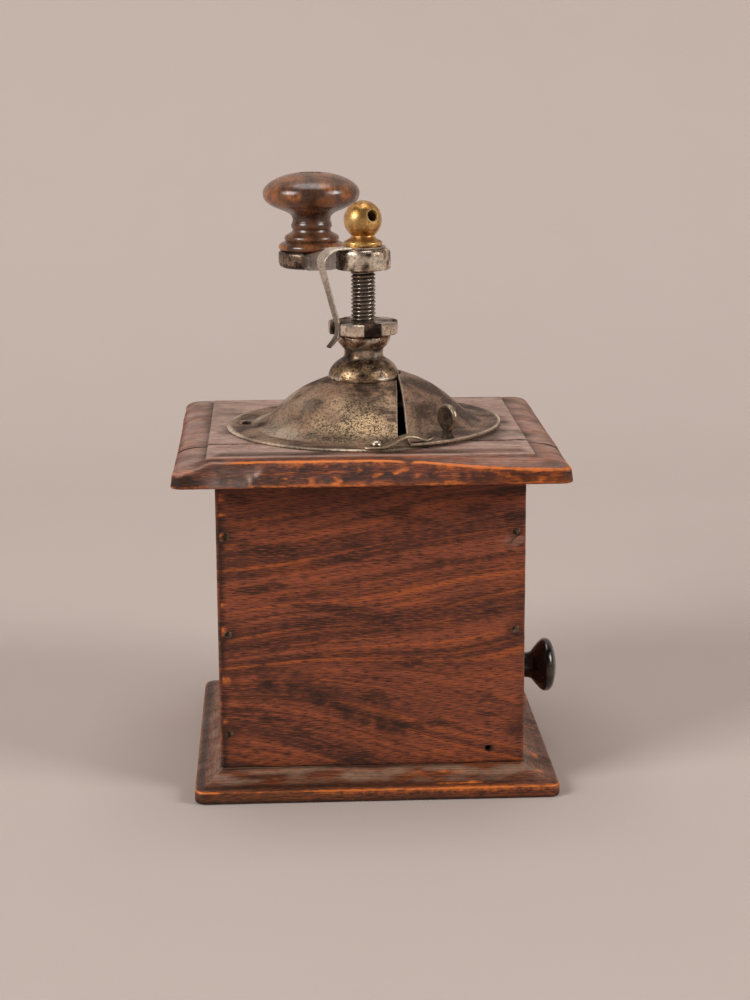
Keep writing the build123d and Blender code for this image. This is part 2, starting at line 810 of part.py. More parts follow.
# Spindle with ring grooves for the thread between the nut and the hub
thread_turns = int(thread_exposed / thread_pitch)
thread_points = []
for turn in range(thread_turns):
    valley = nut_top + (turn + 0.5) * thread_exposed / thread_turns
    thread_points += [
        (spindle_r, valley - thread_flank),
        (spindle_r - thread_depth, valley),
        (spindle_r, valley + thread_flank),
    ]
with BuildPart() as spindle:
    with BuildSketch(Plane.XZ):
        with BuildLine():
            Polyline(
                (0, spindle_bottom),
                (spindle_r, spindle_bottom),
                *thread_points,
                (spindle_r, ball_seat),
                (spindle_end_r, ball_seat),
                (spindle_end_r, spindle_top),
                (0, spindle_top),
                close=True,
            )
        make_face()
    revolve(axis=Axis.Z)
    with BuildSketch(Plane.YZ):
        with Locations((0, burr_pin_z)):
            Circle(burr_pin_r + seat_gap)
    extrude(amount=spindle_r, both=True, mode=Mode.SUBTRACT)
finish(spindle, "spindle")

# Adjusting nut with notches for the leaf
with BuildPart() as adjusting_nut:
    with BuildSketch(Plane.XY.offset(nut_bottom)):
        Circle(nut_r)
        Circle(spindle_r + running_gap, mode=Mode.SUBTRACT)
    extrude(amount=nut_thick)
    nut_side = adjusting_nut.faces().filter_by(GeomType.CYLINDER).sort_by(SortBy.RADIUS)[-1]
    chamfer(nut_side.edges().filter_by(GeomType.CIRCLE), nut_edge)
    with BuildSketch(Plane.XY.offset(nut_bottom)):
        with PolarLocations(nut_r, notch_count, start_angle=leaf_deg):
            Rectangle(2 * notch_depth, notch_width)
    extrude(amount=nut_thick, mode=Mode.SUBTRACT)
finish(adjusting_nut, "adjusting_nut")

# Pawl spring: a leaf clamped on the hub that drops into a notch of the nut
leaf_notch_r = nut_r - notch_depth + leaf_notch_gap + leaf_thick / 2
leaf_level = hub_top + leaf_thick / 2
leaf_points = [
    (leaf_ring_r - leaf_thick, leaf_level),
    (leaf_shoulder_r, leaf_level),
    (leaf_shoulder_r, hub_bottom + leaf_knee_rise),
    (leaf_notch_r, nut_top),
    (leaf_notch_r, nut_bottom),
    (leaf_tail_r, nut_bottom - leaf_tail_drop),
]
with BuildPart() as pawl_spring:
    with BuildSketch(radial_plane(leaf_deg)):
        with BuildLine():
            FilletPolyline(*leaf_points, radius=leaf_bend_r)
        trace(line_width=leaf_thick)
    extrude(amount=leaf_width / 2, both=True)
    with BuildSketch(Plane.XY.offset(hub_top)):
        Circle(leaf_ring_r)
        Circle(spindle_r + seat_gap, mode=Mode.SUBTRACT)
    extrude(amount=leaf_thick)
finish(pawl_spring, "pawl_spring")

# Crank arm: its side view crossed with its plan
arm_out = direction(crank_deg)
arm_plan = Plane(origin=(0, 0, eye_bottom), x_dir=arm_out, z_dir=(0, 0, 1))
drop_end = arm_drop_start + arm_drop_length
with BuildPart() as crank_arm:
    with BuildSketch(arm_plan):
        with Locations((crank_radius, 0)):
            Circle(eye_r)
        with BuildLine():
            Polyline(
                (0, -arm_hub_width / 2),
                (crank_radius, -arm_eye_width / 2),
                (crank_radius, arm_eye_width / 2),
                (0, arm_hub_width / 2),
                close=True,
            )
        make_face()
    extrude(amount=hub_top - eye_bottom)
    with BuildSketch(radial_plane(crank_deg)):
        with BuildLine():
            FilletPolyline(
                (0, arm_middle),
                (arm_drop_start, arm_middle),
                (drop_end, eye_middle),
                (crank_radius + eye_r, eye_middle),
                radius=arm_bend_r,
            )
        trace(line_width=arm_thick)
    extrude(amount=eye_r, both=True, mode=Mode.INTERSECT)
    with BuildSketch(Plane.XZ) as hub_section:
        with Locations((0, hub_bottom)):
            Rectangle(hub_r, hub_height, align=(Align.MIN, Align.MIN))
        fillet(hub_section.vertices().sort_by_distance((hub_r, hub_top))[0], hub_edge)
    revolve(axis=Axis.Z)
    with BuildSketch(Plane.XY.offset(hub_bottom)):
        Circle(spindle_r + seat_gap)
    extrude(amount=hub_height, mode=Mode.SUBTRACT)
    with BuildSketch(arm_plan):
        with Locations((crank_radius, 0)):
            Circle(pin_r + seat_gap)
    extrude(amount=arm_thick, mode=Mode.SUBTRACT)
finish(crank_arm, "crank_arm")

# Ball nut with a cross hole for a tommy bar
ball_foot = ball_seat + ball_flange_thick
ball_neck_z = ball_centre - sqrt(ball_r**2 - ball_neck_r**2)
with BuildPart() as ball_nut:
    with BuildSketch(Plane.XZ):
        with BuildLine():
            Polyline(
                (0, spindle_top),
                (spindle_end_r + seat_gap, spindle_top),
                (spindle_end_r + seat_gap, ball_seat),
                (ball_flange_r, ball_seat),
                (ball_flange_r, ball_foot),
                (ball_flare_r, ball_foot),
            )
            ThreePointArc(
                (ball_flare_r, ball_foot),
                ((ball_flare_r + 2 * ball_neck_r) / 3, (2 * ball_foot + ball_neck_z) / 3),
                (ball_neck_r, ball_neck_z),
            )
            ThreePointArc(
                (ball_neck_r, ball_neck_z),
                (ball_r, ball_centre),
                (0, ball_centre + ball_r),
            )
            Line((0, ball_centre + ball_r), (0, spindle_top))
        make_face()
    revolve(axis=Axis.Z)
    hole_way = direction(cross_hole_deg) + Vector(0, 0, tan(radians(cross_hole_rise_deg)))
    with BuildSketch(Plane(origin=(0, 0, ball_centre), z_dir=hole_way)):
        Circle(cross_hole_r)
    extrude(amount=ball_r, both=True, mode=Mode.SUBTRACT)
finish(ball_nut, "ball_nut")

# Turned knob on its pin
knob_plane = Plane(origin=(*knob_point, 0), x_dir=(1, 0, 0), z_dir=(0, -1, 0))
knob_axis = Axis((*knob_point, 0), (0, 0, 1))
knob_bore_r = pin_r + running_gap
recess_r = pin_head_r + 2 * swing_gap
recess_bottom = knob_top - pin_head_thick - 2 * flat_gap


def up(height: float) -> float:
    """Level at a height above the knob's underside."""
    return knob_bottom + height


with BuildPart() as crank_knob:
    with BuildSketch(knob_plane):
        with BuildLine():
            Line((knob_bore_r, knob_bottom), (knob_foot_r - knob_foot_round, knob_bottom))
            ThreePointArc(
                (knob_foot_r - knob_foot_round, knob_bottom),
                (knob_foot_r, up(knob_foot_height / 2)),
                (knob_foot_r - 2 * knob_foot_round, up(knob_foot_height)),
            )
            Line(
                (knob_foot_r - 2 * knob_foot_round, up(knob_foot_height)),
                (knob_bead_r - knob_foot_round, up(knob_bead_bottom)),
            )
            ThreePointArc(
                (knob_bead_r - knob_foot_round, up(knob_bead_bottom)),
                (knob_bead_r, up((knob_bead_bottom + knob_bead_top) / 2)),
                (knob_bead_r - knob_foot_round, up(knob_bead_top)),
            )
            ThreePointArc(
                (knob_bead_r - knob_foot_round, up(knob_bead_top)),
                (knob_neck_r + knob_foot_round, up((2 * knob_bead_top + knob_waist) / 3)),
                (knob_neck_r, up(knob_waist)),
            )
            ThreePointArc(
                (knob_neck_r, up(knob_waist)),
                (knob_neck_r + knob_neck_bulge, up((knob_waist + knob_neck_top) / 2)),
                (knob_neck_r, up(knob_neck_top)),
            )
            ThreePointArc(
                (knob_neck_r, up(knob_neck_top)),
                (knob_neck_r + knob_neck_bulge, up((knob_neck_top + knob_flare) / 2)),
                (knob_flare_r, up(knob_flare)),
            )
            Line((knob_flare_r, up(knob_flare)), (knob_rim_r, up(knob_rim)))
            ThreePointArc(
                (knob_rim_r, up(knob_rim)),
                (knob_cap_r, up(knob_widest)),
                (knob_shoulder_r, up(knob_shoulder)),
            )
            ThreePointArc(
                (knob_shoulder_r, up(knob_shoulder)),
                (knob_brow_r, up(knob_brow)),
                (recess_r, knob_top),
            )
            Polyline(
                (recess_r, knob_top),
                (recess_r, recess_bottom),
                (knob_bore_r, recess_bottom),
                (knob_bore_r, knob_bottom),
            )
        make_face()
    revolve(axis=knob_axis)
finish(crank_knob, "crank_knob")

with BuildPart() as knob_pin:
    with BuildSketch(Plane.XY.offset(eye_bottom)):
        with Locations(knob_point):
            Circle(pin_r)
    extrude(amount=recess_bottom + flat_gap - eye_bottom)
    with BuildSketch(Plane.XY.offset(recess_bottom + flat_gap)):
        with Locations(knob_point):
            Circle(pin_head_r)
    extrude(amount=pin_head_thick)
    fillet(knob_pin.edges().group_by(Axis.Z)[-1], pin_head_round)
finish(knob_pin, "knob_pin")

# Drawer: separate boards round a thin bottom
drawer_back_x = inner_half - drawer_length
side_y = drawer_half - drawer_board / 2
with BuildPart() as drawer_front:
    with BuildSketch(Plane.XY.offset(drawer_bottom_z)):
        with Locations((inner_half, 0)):
            Rectangle(drawer_face - inner_half, 2 * drawer_half, align=(Align.MIN, Align.CENTER))
    extrude(amount=drawer_height)
    with BuildSketch(Plane.YZ.offset(inner_half)):
        with Locations((0, pull_z)):
            Circle(pull_screw_r + seat_gap)
    extrude(amount=drawer_face - inner_half, mode=Mode.SUBTRACT)
finish(drawer_front, "drawer_front")

drawer_nail_points = [(drawer_back_x + drawer_board / 2, drawer_bottom_z + row) for row in drawer_nail_rows]
with BuildPart() as drawer_side_near:
    with BuildSketch(Plane.XY.offset(drawer_bottom_z)):
        with Locations((drawer_back_x, -side_y)):
            Rectangle(drawer_length, drawer_board, align=(Align.MIN, Align.CENTER))
    extrude(amount=drawer_side_height)
    with BuildSketch(Plane.XZ.offset(drawer_half)):
        with Locations(*drawer_nail_points):
            Circle(nail_r + seat_gap)
    extrude(amount=-drawer_board, mode=Mode.SUBTRACT)
finish(drawer_side_near, "drawer_side_near")

with BuildPart() as drawer_side_far:
    add(drawer_side_near.part.mirror(Plane.XZ))
finish(drawer_side_far, "drawer_side_far")

with BuildPart() as drawer_back:
    with BuildSketch(Plane.XY.offset(drawer_bottom_z)):
        with Locations((drawer_back_x, 0)):
            Rectangle(drawer_board, 2 * (drawer_half - drawer_board), align=(Align.MIN, Align.CENTER))
    extrude(amount=drawer_side_height)
    with BuildSketch(Plane.XZ.offset(drawer_half - drawer_board)):
        with Locations(*drawer_nail_points):
            Circle(nail_r + seat_gap)
    extrude(amount=drawer_board - drawer_nail_length, mode=Mode.SUBTRACT)
    mirror(drawer_back.part, about=Plane.XZ, mode=Mode.INTERSECT)
finish(drawer_back, "drawer_back")

with BuildPart() as drawer_bottom:
    with BuildSketch(Plane.XY.offset(drawer_bottom_z + drawer_bottom_lift)):
        with Locations((drawer_back_x + drawer_board, 0)):
            Rectangle(
                drawer_length - drawer_board,
                2 * (drawer_half - drawer_board),
                align=(Align.MIN, Align.CENTER),
            )
    extrude(amount=drawer_bottom_thick)
finish(drawer_bottom, "drawer_bottom")

with BuildPart() as drawer_nails:
    with BuildSketch(Plane.XZ.offset(drawer_half)):
        with Locations(*drawer_nail_points):
            Circle(nail_r)
    extrude(amount=-drawer_nail_length)
    mirror(about=Plane.XZ)
finish(drawer_nails, "drawer_nails")

# Drawer knob, turned, and the screw that holds it from inside
pull_face_r = (pull_rim_r**2 + (pull_reach - pull_rim) ** 2) / (2 * (pull_reach - pull_rim))
pull_face_middle = shell_point(pull_face_r, pull_end - pull_face_r, pull_rim_r, 0)
with BuildPart() as drawer_knob:
    with BuildSketch(Plane.XZ.shift_origin((0, 0, pull_z))):
        with BuildLine():
            Polyline((drawer_face, 0), (drawer_face, pull_seat_r), (drawer_face + pull_seat, pull_seat_r))
            ThreePointArc(
                (drawer_face + pull_seat, pull_seat_r),
                (drawer_face + pull_waist, pull_waist_r),
                (drawer_face + pull_flare, pull_flare_r),
            )
            ThreePointArc(
                (drawer_face + pull_flare, pull_flare_r),
                (drawer_face + pull_widest, pull_head_r),
                (drawer_face + pull_rim, pull_rim_r),
            )
            ThreePointArc(
                (drawer_face + pull_rim, pull_rim_r),
                (pull_face_middle[1], pull_face_middle[0]),
                (pull_end, 0),
            )
            Line((pull_end, 0), (drawer_face, 0))
        make_face()
    revolve(axis=Axis((0, 0, pull_z), (1, 0, 0)))
    with BuildSketch(Plane.YZ.offset(drawer_face)):
        with Locations((0, pull_z)):
            Circle(pull_screw_r + seat_gap)
    extrude(amount=pull_screw_bite, mode=Mode.SUBTRACT)
finish(drawer_knob, "drawer_knob")

with BuildPart() as drawer_knob_screw:
    with BuildSketch(Plane.YZ.offset(inner_half)):
        with Locations((0, pull_z)):
            Circle(pull_screw_r)
    extrude(amount=drawer_face - inner_half + pull_screw_bite)
    with BuildSketch(Plane.YZ.offset(inner_half)):
        with Locations((0, pull_z)):
            Circle(pull_screw_head_r)
    extrude(amount=-pull_screw_head_thick)
finish(drawer_knob_screw, "drawer_knob_screw")
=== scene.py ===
"""Looks of a hand crank coffee grinder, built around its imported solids.

Lengths are in millimetres in the frame of the solids; a mesh turns them into metres when it is made.
"""

import logging
import math
from collections.abc import Callable, Sequence
from dataclasses import dataclass, field
from enum import Enum
from itertools import product

import bmesh
import bpy
from mathutils import Matrix, Vector, noise
from mathutils.kdtree import KDTree


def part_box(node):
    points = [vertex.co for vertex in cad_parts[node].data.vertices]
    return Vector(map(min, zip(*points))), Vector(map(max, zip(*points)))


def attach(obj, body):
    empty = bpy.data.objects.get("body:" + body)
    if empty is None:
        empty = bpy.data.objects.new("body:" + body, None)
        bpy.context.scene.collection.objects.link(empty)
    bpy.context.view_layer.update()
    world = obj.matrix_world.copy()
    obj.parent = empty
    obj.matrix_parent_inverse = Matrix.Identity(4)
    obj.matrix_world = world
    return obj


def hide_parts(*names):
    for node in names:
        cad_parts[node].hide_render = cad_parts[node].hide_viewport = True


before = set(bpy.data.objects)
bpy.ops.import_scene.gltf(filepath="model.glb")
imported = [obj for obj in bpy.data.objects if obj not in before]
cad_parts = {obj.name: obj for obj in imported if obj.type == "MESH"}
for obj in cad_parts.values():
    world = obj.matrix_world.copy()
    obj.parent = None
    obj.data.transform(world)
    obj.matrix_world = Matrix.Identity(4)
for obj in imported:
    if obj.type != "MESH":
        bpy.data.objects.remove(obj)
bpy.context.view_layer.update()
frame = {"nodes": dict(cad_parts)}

MM = 0.001
QUARTER_TURN = 90.0
HALF_TURN = 180.0
FULL_TURN = 360.0
TOUCHING = 1e-7
ON_AXIS = 1e-6
NEXT_PATTERN = Vector((7.3, -3.1, 5.7))

Flat = tuple[float, float]
Spot = tuple[float, float, float]
Line = tuple[Flat, ...]
Point = Sequence[float]
Colour = tuple[float, float, float, float]
Thing = bpy.types.Object
Socket = bpy.types.NodeSocket

log = logging.getLogger("grinder")


class Body(Enum):
    """The bodies that move on their own."""

    BOX = "box"
    CRANK = "crank"
    NUT = "nut"
    KNOB = "knob"
    DOOR = "door"
    DRAWER = "drawer"


class Slot(Enum):
    """The material slots of the record."""

    STAINED_WOOD = "stained_wood"
    WORN_BOARD = "worn_board"
    RAW_WOOD = "raw_wood"
    TURNED_KNOB = "turned_knob"
    BLACK_KNOB = "black_knob"
    SHEET_STEEL = "sheet_steel"
    TURNED_STEEL = "turned_steel"
    SPRING_STEEL = "spring_steel"
    FORGED_IRON = "forged_iron"
    CAST_BURR = "cast_burr"
    NAIL_IRON = "nail_iron"
    OLD_BRASS = "old_brass"


class Grain(Enum):
    """The axes in the order along, across and through the grain."""

    ALONG_X = (0, 1, 2)
    ALONG_Y = (1, 0, 2)
    ALONG_Z = (2, 0, 1)


class Paint(Enum):
    """What is painted on the vertices for the finishes to read."""

    WORN = "worn"
    SCAR = "scar"
    GRIME = "grime"


class Crease(Enum):
    """Angle in degrees above which an edge stays sharp, by the kind of surface."""

    NOTCHED = 25.0
    SHEET = 32.0
    PLAIN = 38.0
    TURNED = 40.0
    FORGED = 42.0
    STRIP = 45.0
    RIM = 50.0
    COARSE = 60.0
    BACKDROP = 80.0


class Joining(Enum):
    """What becomes of a mesh and the tool that meets it."""

    CUT = "DIFFERENCE"
    FUSE = "UNION"


@dataclass(frozen=True)
class Touch:
    """Amounts painted at one vertex, from 0 to 1: wear and bare broken wood, which also carry painted
    highlights, and dirt, which also carries painted shade.
    """

    worn: float = 0.0
    scar: float = 0.0
    grime: float = 0.0


Toucher = Callable[[Point], Touch]
PLAIN = Touch()
# Dark paint for the insides of holes and cracks: painted shade.
HOLE_SHADE = Touch(grime=1.0)


def evenly(touch: Touch) -> Toucher:
    """The same paint everywhere."""
    return lambda _spot: touch


UNTOUCHED = evenly(PLAIN)
# The same painted shade all over a hole's or crack's cutting tool.
ALL_HOLE_SHADE = evenly(HOLE_SHADE)


def ink(red: int, green: int, blue: int) -> Colour:
    """Turn a screen colour into linear light.

    Args:
        red, green, blue: Screen values from 0 to 255.

    Returns:
        The linear colour with full alpha.
    """

    def channel(value: int) -> float:
        """Linear value of one screen value."""
        share = value / 255
        return share / 12.92 if share <= 0.04045 else ((share + 0.055) / 1.055) ** 2.4

    return (channel(red), channel(green), channel(blue), 1.0)


def between(low: float, high: float, share: float) -> float:
    """Value at a share of the way from low to high."""
    return low + (high - low) * share


def ease(low: float, high: float, value: float) -> float:
    """Smooth step from 0 at low to 1 at high."""
    share = min(max((value - low) / (high - low), 0.0), 1.0)
    return share * share * (3 - 2 * share)


def swell(value: float, middle: float, width: float) -> float:
    """Soft hump that is 1 at the middle and fades over the width."""
    return math.exp(-(((value - middle) / width) ** 2))


def ripple(place: Point, size: float, layer: float = 0.0) -> float:
    """Smooth noise from about -1 to 1, with humps a size apart; each layer is another pattern."""
    return noise.noise(Vector(place) / size + NEXT_PATTERN * layer)


def patch(place: Point, size: float, layer: float, low: float, high: float) -> float:
    """Soft patches of noise: 0 where it is below low and 1 where it is above high."""
    return ease(low, high, ripple(place, size, layer))


def polar(radius: float, degrees: float) -> Flat:
    """Plan point at a radius and an angle from +X."""
    return (radius * math.cos(math.radians(degrees)), radius * math.sin(math.radians(degrees)))


def spin(degrees: float, axis: str) -> Matrix:
    """Turn about an axis of the frame."""
    return Matrix.Rotation(math.radians(degrees), 4, axis)


def bend(t: float, a: float, b: float, c: float, d: float) -> float:
    """Smooth curve from b to c, led in by a and led out by d."""
    return 0.5 * (2 * b + (c - a) * t + (2 * a - 5 * b + 4 * c - d) * t**2 + (3 * b - a - 3 * c + d) * t**3)


def bow(start: Vector, knee: Vector, end: Vector, t: float) -> Flat:
    """Point on the curve from start to end that leans towards the knee."""
    spot = start * (1 - t) ** 2 + knee * 2 * t * (1 - t) + end * t**2
    return (spot.x, spot.y)


def through(points: Sequence[Point], steps: int) -> list[tuple[float, ...]]:
    """Smooth line through points of any dimension.

    Args:
        points: The points that the line passes.
        steps: Pieces between two points.

    Returns:
        The points of the line, ends included.
    """
    padded = [points[0], *points, points[-1]]
    line = []
    for four in zip(padded, padded[1:], padded[2:], padded[3:]):
        line += [tuple(bend(step / steps, *way) for way in zip(*four)) for step in range(steps)]
    return [*line, tuple(points[-1])]


def soften(corners: Sequence[Spot], steps: int = 4) -> list[Flat]:
    """Profile whose corners are rounded.

    Args:
        corners: Radius, height and rounding of each corner.
        steps: Pieces in each rounded corner.

    Returns:
        The profile's points.
    """
    most = 0.48
    line: list[Flat] = []
    for index, (radius, height, round_off) in enumerate(corners):
        if round_off == 0 or index in (0, len(corners) - 1):
            line.append((radius, height))
            continue
        here = Vector((radius, height))
        ends = []
        for other in (corners[index - 1], corners[index + 1]):
            way = Vector(other[:2]) - here
            ends.append(here + way.normalized() * min(round_off, way.length * most))
        line += [bow(ends[0], here, ends[1], step / steps) for step in range(steps + 1)]
    return line


def dome_section(radius: float, centre: float, reach: Flat, level: float, run: Flat) -> list[Flat]:
    """Section of a dome that flares out into its flange.

    Args:
        radius, centre: Sphere of the dome and the height of its middle.
        reach: Radii at which the section and its flare start.
        level: Height of the flange.
        run: How far the flare goes on past its knee, outwards and up.

    Returns:
        Radius and height along it.
    """
    steps, flare_steps = 26, 10
    radii = [between(*reach, step / steps) for step in range(steps + 1)]
    line = [(r, centre + math.sqrt(radius**2 - r**2)) for r in radii]
    start = Vector(line[-1])
    lean = -reach[1] / (start.y - centre)
    knee = Vector((start.x + (level - start.y) / lean, level))
    end = Vector((knee.x + run[0], level + run[1]))
    return line + [bow(start, knee, end, step / flare_steps) for step in range(1, flare_steps + 1)]


class Draft:
    """A mesh in the making: vertices in millimetres, what is painted on them, and faces."""

    def __init__(self) -> None:
        """Start with nothing."""
        self.spots: list[Spot] = []
        self.touches: list[Touch] = []
        self.faces: list[tuple[int, ...]] = []

    def dot(self, spot: Point, touch: Touch = PLAIN) -> int:
        """Add a vertex with its paint and give its index."""
        self.spots.append(tuple(spot))
        self.touches.append(touch)
        return len(self.spots) - 1

    def row(self, spots: Sequence[Point], touch: Toucher = UNTOUCHED) -> list[int]:
        """Add a row of vertices, painted by their place."""
        return [self.dot(spot, touch(spot)) for spot in spots]

    def face(self, *corners: int) -> None:
        """Add a face, leaving out corners that are the same vertex."""
        kept = tuple(dict.fromkeys(corners))
        if len(kept) > 2:
            self.faces.append(kept)

    def skin(self, rows: Sequence[Sequence[int]], loop: bool, closed: bool = False) -> None:
        """Add faces between neighbouring rows of vertices.

        Args:
            rows: Rows of equal length.
            loop: Whether each row runs round to its start.
            closed: Whether the last row joins the first.
        """
        pairs = list(zip(rows, rows[1:]))
        if closed:
            pairs.append((rows[-1], rows[0]))
        count = len(rows[0])
        for lower, upper in pairs:
            for index in range(count if loop else count - 1):
                following = (index + 1) % count
                self.face(lower[index], lower[following], upper[following], upper[index])

    def tube(self, rows: Sequence[Sequence[int]]) -> None:
        """Add faces between rows that run round, and over both ends."""
        self.skin(rows, loop=True)
        self.face(*rows[0])
        self.face(*rows[-1])

    def make(self, name: str, crease: Crease = Crease.PLAIN) -> Thing:
        """Turn the draft into an object.

        Args:
            name: The object's name.
            crease: Which edges stay sharp.

        Returns:
            The object, with its painted values as attributes.
        """
        mesh = bpy.data.meshes.new(name)
        mesh.from_pydata([[c * MM for c in spot] for spot in self.spots], [], self.faces)
        for paint in Paint:
            layer = mesh.attributes.new(paint.value, "FLOAT", "POINT")
            layer.data.foreach_set("value", [getattr(touch, paint.value) for touch in self.touches])
        work = bmesh.new()
        work.from_mesh(mesh)
        bmesh.ops.recalc_face_normals(work, faces=work.faces)
        work.to_mesh(mesh)
        work.free()
        piece = bpy.data.objects.new(name, mesh)
        bpy.context.scene.collection.objects.link(piece)
        shade(piece, crease)
        return piece


def shade(piece: Thing, crease: Crease) -> None:
    """Smooth a mesh's shading except at edges sharper than the crease."""
    piece.data.polygons.foreach_set("use_smooth", [True] * len(piece.data.polygons))
    piece.data.set_sharp_from_angle(angle=math.radians(crease.value))
    piece.data.update()


class Swatch:
    """What is painted on a mesh, to be asked for by the place."""

    def __init__(self, mesh: bpy.types.Mesh) -> None:
        """Read the painted values.

        Args:
            mesh: The painted mesh.
        """
        self.tree = KDTree(len(mesh.vertices))
        for vertex in mesh.vertices:
            self.tree.insert(vertex.co, vertex.index)
        self.tree.balance()
        layers = [mesh.attributes[paint.value].data for paint in Paint]
        self.values = [tuple(item.value for item in row) for row in zip(*layers)]

    def at(self, spot: Vector, within: float = math.inf) -> tuple[float, ...] | None:
        """Values at the nearest vertex, or None where that is too far away."""
        _, index, away = self.tree.find(spot)
        return self.values[index] if away <= within else None


def carve(
    piece: Thing, tool: Thing, crease: Crease, joining: Joining = Joining.CUT, clean: bool = False
) -> None:
    """Cut or fuse a mesh with another one, which is then gone, and keep what is painted on both.

    Args:
        piece: The mesh that is changed.
        tool: The mesh that cuts it or is fused to it.
        crease: Which of its edges stay sharp.
        joining: Whether it is cut or fused.
        clean: Whether the edge of the cut keeps the piece's paint.
    """
    own, other = Swatch(piece.data), Swatch(tool.data)
    step = piece.modifiers.new("carve", "BOOLEAN")
    step.operation = joining.value
    step.object = tool
    step.solver = "EXACT"
    graph = bpy.context.evaluated_depsgraph_get()
    mesh = bpy.data.meshes.new_from_object(piece.evaluated_get(graph))
    piece.modifiers.clear()
    piece.data = mesh
    bpy.data.objects.remove(tool)
    places = [vertex.co for vertex in mesh.vertices]
    edge = own if clean else other
    kept = [own.at(spot, TOUCHING) or other.at(spot, TOUCHING) or edge.at(spot) for spot in places]
    for paint, values in zip(Paint, zip(*kept)):
        mesh.attributes[paint.value].data.foreach_set("value", values)
    shade(piece, crease)


def gather(piece: Thing, other: Thing) -> None:
    """Put another mesh into a piece without cutting either, so that they are one object."""
    with bpy.context.temp_override(active_object=piece, selected_editable_objects=[piece, other]):
        bpy.ops.object.join()


def turn(
    draft: Draft,
    profile: Sequence[Flat],
    place: Matrix = Matrix.Identity(4),
    segments: int = 96,
    closed: bool = False,
    touch: Toucher = UNTOUCHED,
    wobble: float = 0.0,
) -> None:
    """Add a turned form.

    Args:
        draft: The mesh that it goes into.
        profile: Radius and height along the form.
        place: Where the turning axis, local Z, lies in the frame.
        segments: Vertices round the form.
        closed: Whether the profile runs back to its start, as for a ring.
        touch: What is painted, by the point in the form's own frame.
        wobble: How far the form strays from a true circle.
    """
    rows = []
    for radius, height in profile:
        if radius < ON_AXIS:
            pole = draft.dot(place @ Vector((0, 0, height)), touch((0, 0, height)))
            rows.append([pole] * segments)
            continue
        row = []
        for index in range(segments):
            x, y = polar(radius, FULL_TURN * index / segments)
            stray = 1 + wobble * ripple((x, y, height), radius * 1.4) / radius
            spot = (x * stray, y * stray, height)
            row.append(draft.dot(place @ Vector(spot), touch(spot)))
        rows.append(row)
    draft.skin(rows, loop=True, closed=closed)


def turned(
    name: str,
    profile: Sequence[Flat],
    crease: Crease = Crease.PLAIN,
    place: Matrix = Matrix.Identity(4),
    segments: int = 96,
    closed: bool = False,
    touch: Toucher = UNTOUCHED,
    wobble: float = 0.0,
) -> Thing:
    """Make a turned piece or a turned cutting tool.

    Args:
        name, crease: The piece's name, and which edges stay sharp.
        profile, place, segments, closed, touch, wobble: Its form, as for turn.

    Returns:
        The piece.
    """
    draft = Draft()
    turn(draft, profile, place, segments, closed, touch, wobble)
    return draft.make(name, crease)


def ticks(low: float, high: float, margin: float, pitch: float) -> list[float]:
    """Grid lines between two edges, close together near both.

    Args:
        low, high: The edges.
        margin: Width of the close zone at each edge.
        pitch: Spacing in between.

    Returns:
        The lines in rising order.
    """
    near = [0.0, 0.12, 0.28, 0.48, 0.72, 1.0]
    count = max(1, round((high - low - 2 * margin) / pitch))
    inside = [between(low + margin, high - margin, step / count) for step in range(1, count)]
    return [low + margin * s for s in near] + inside + [high - margin * s for s in reversed(near)]


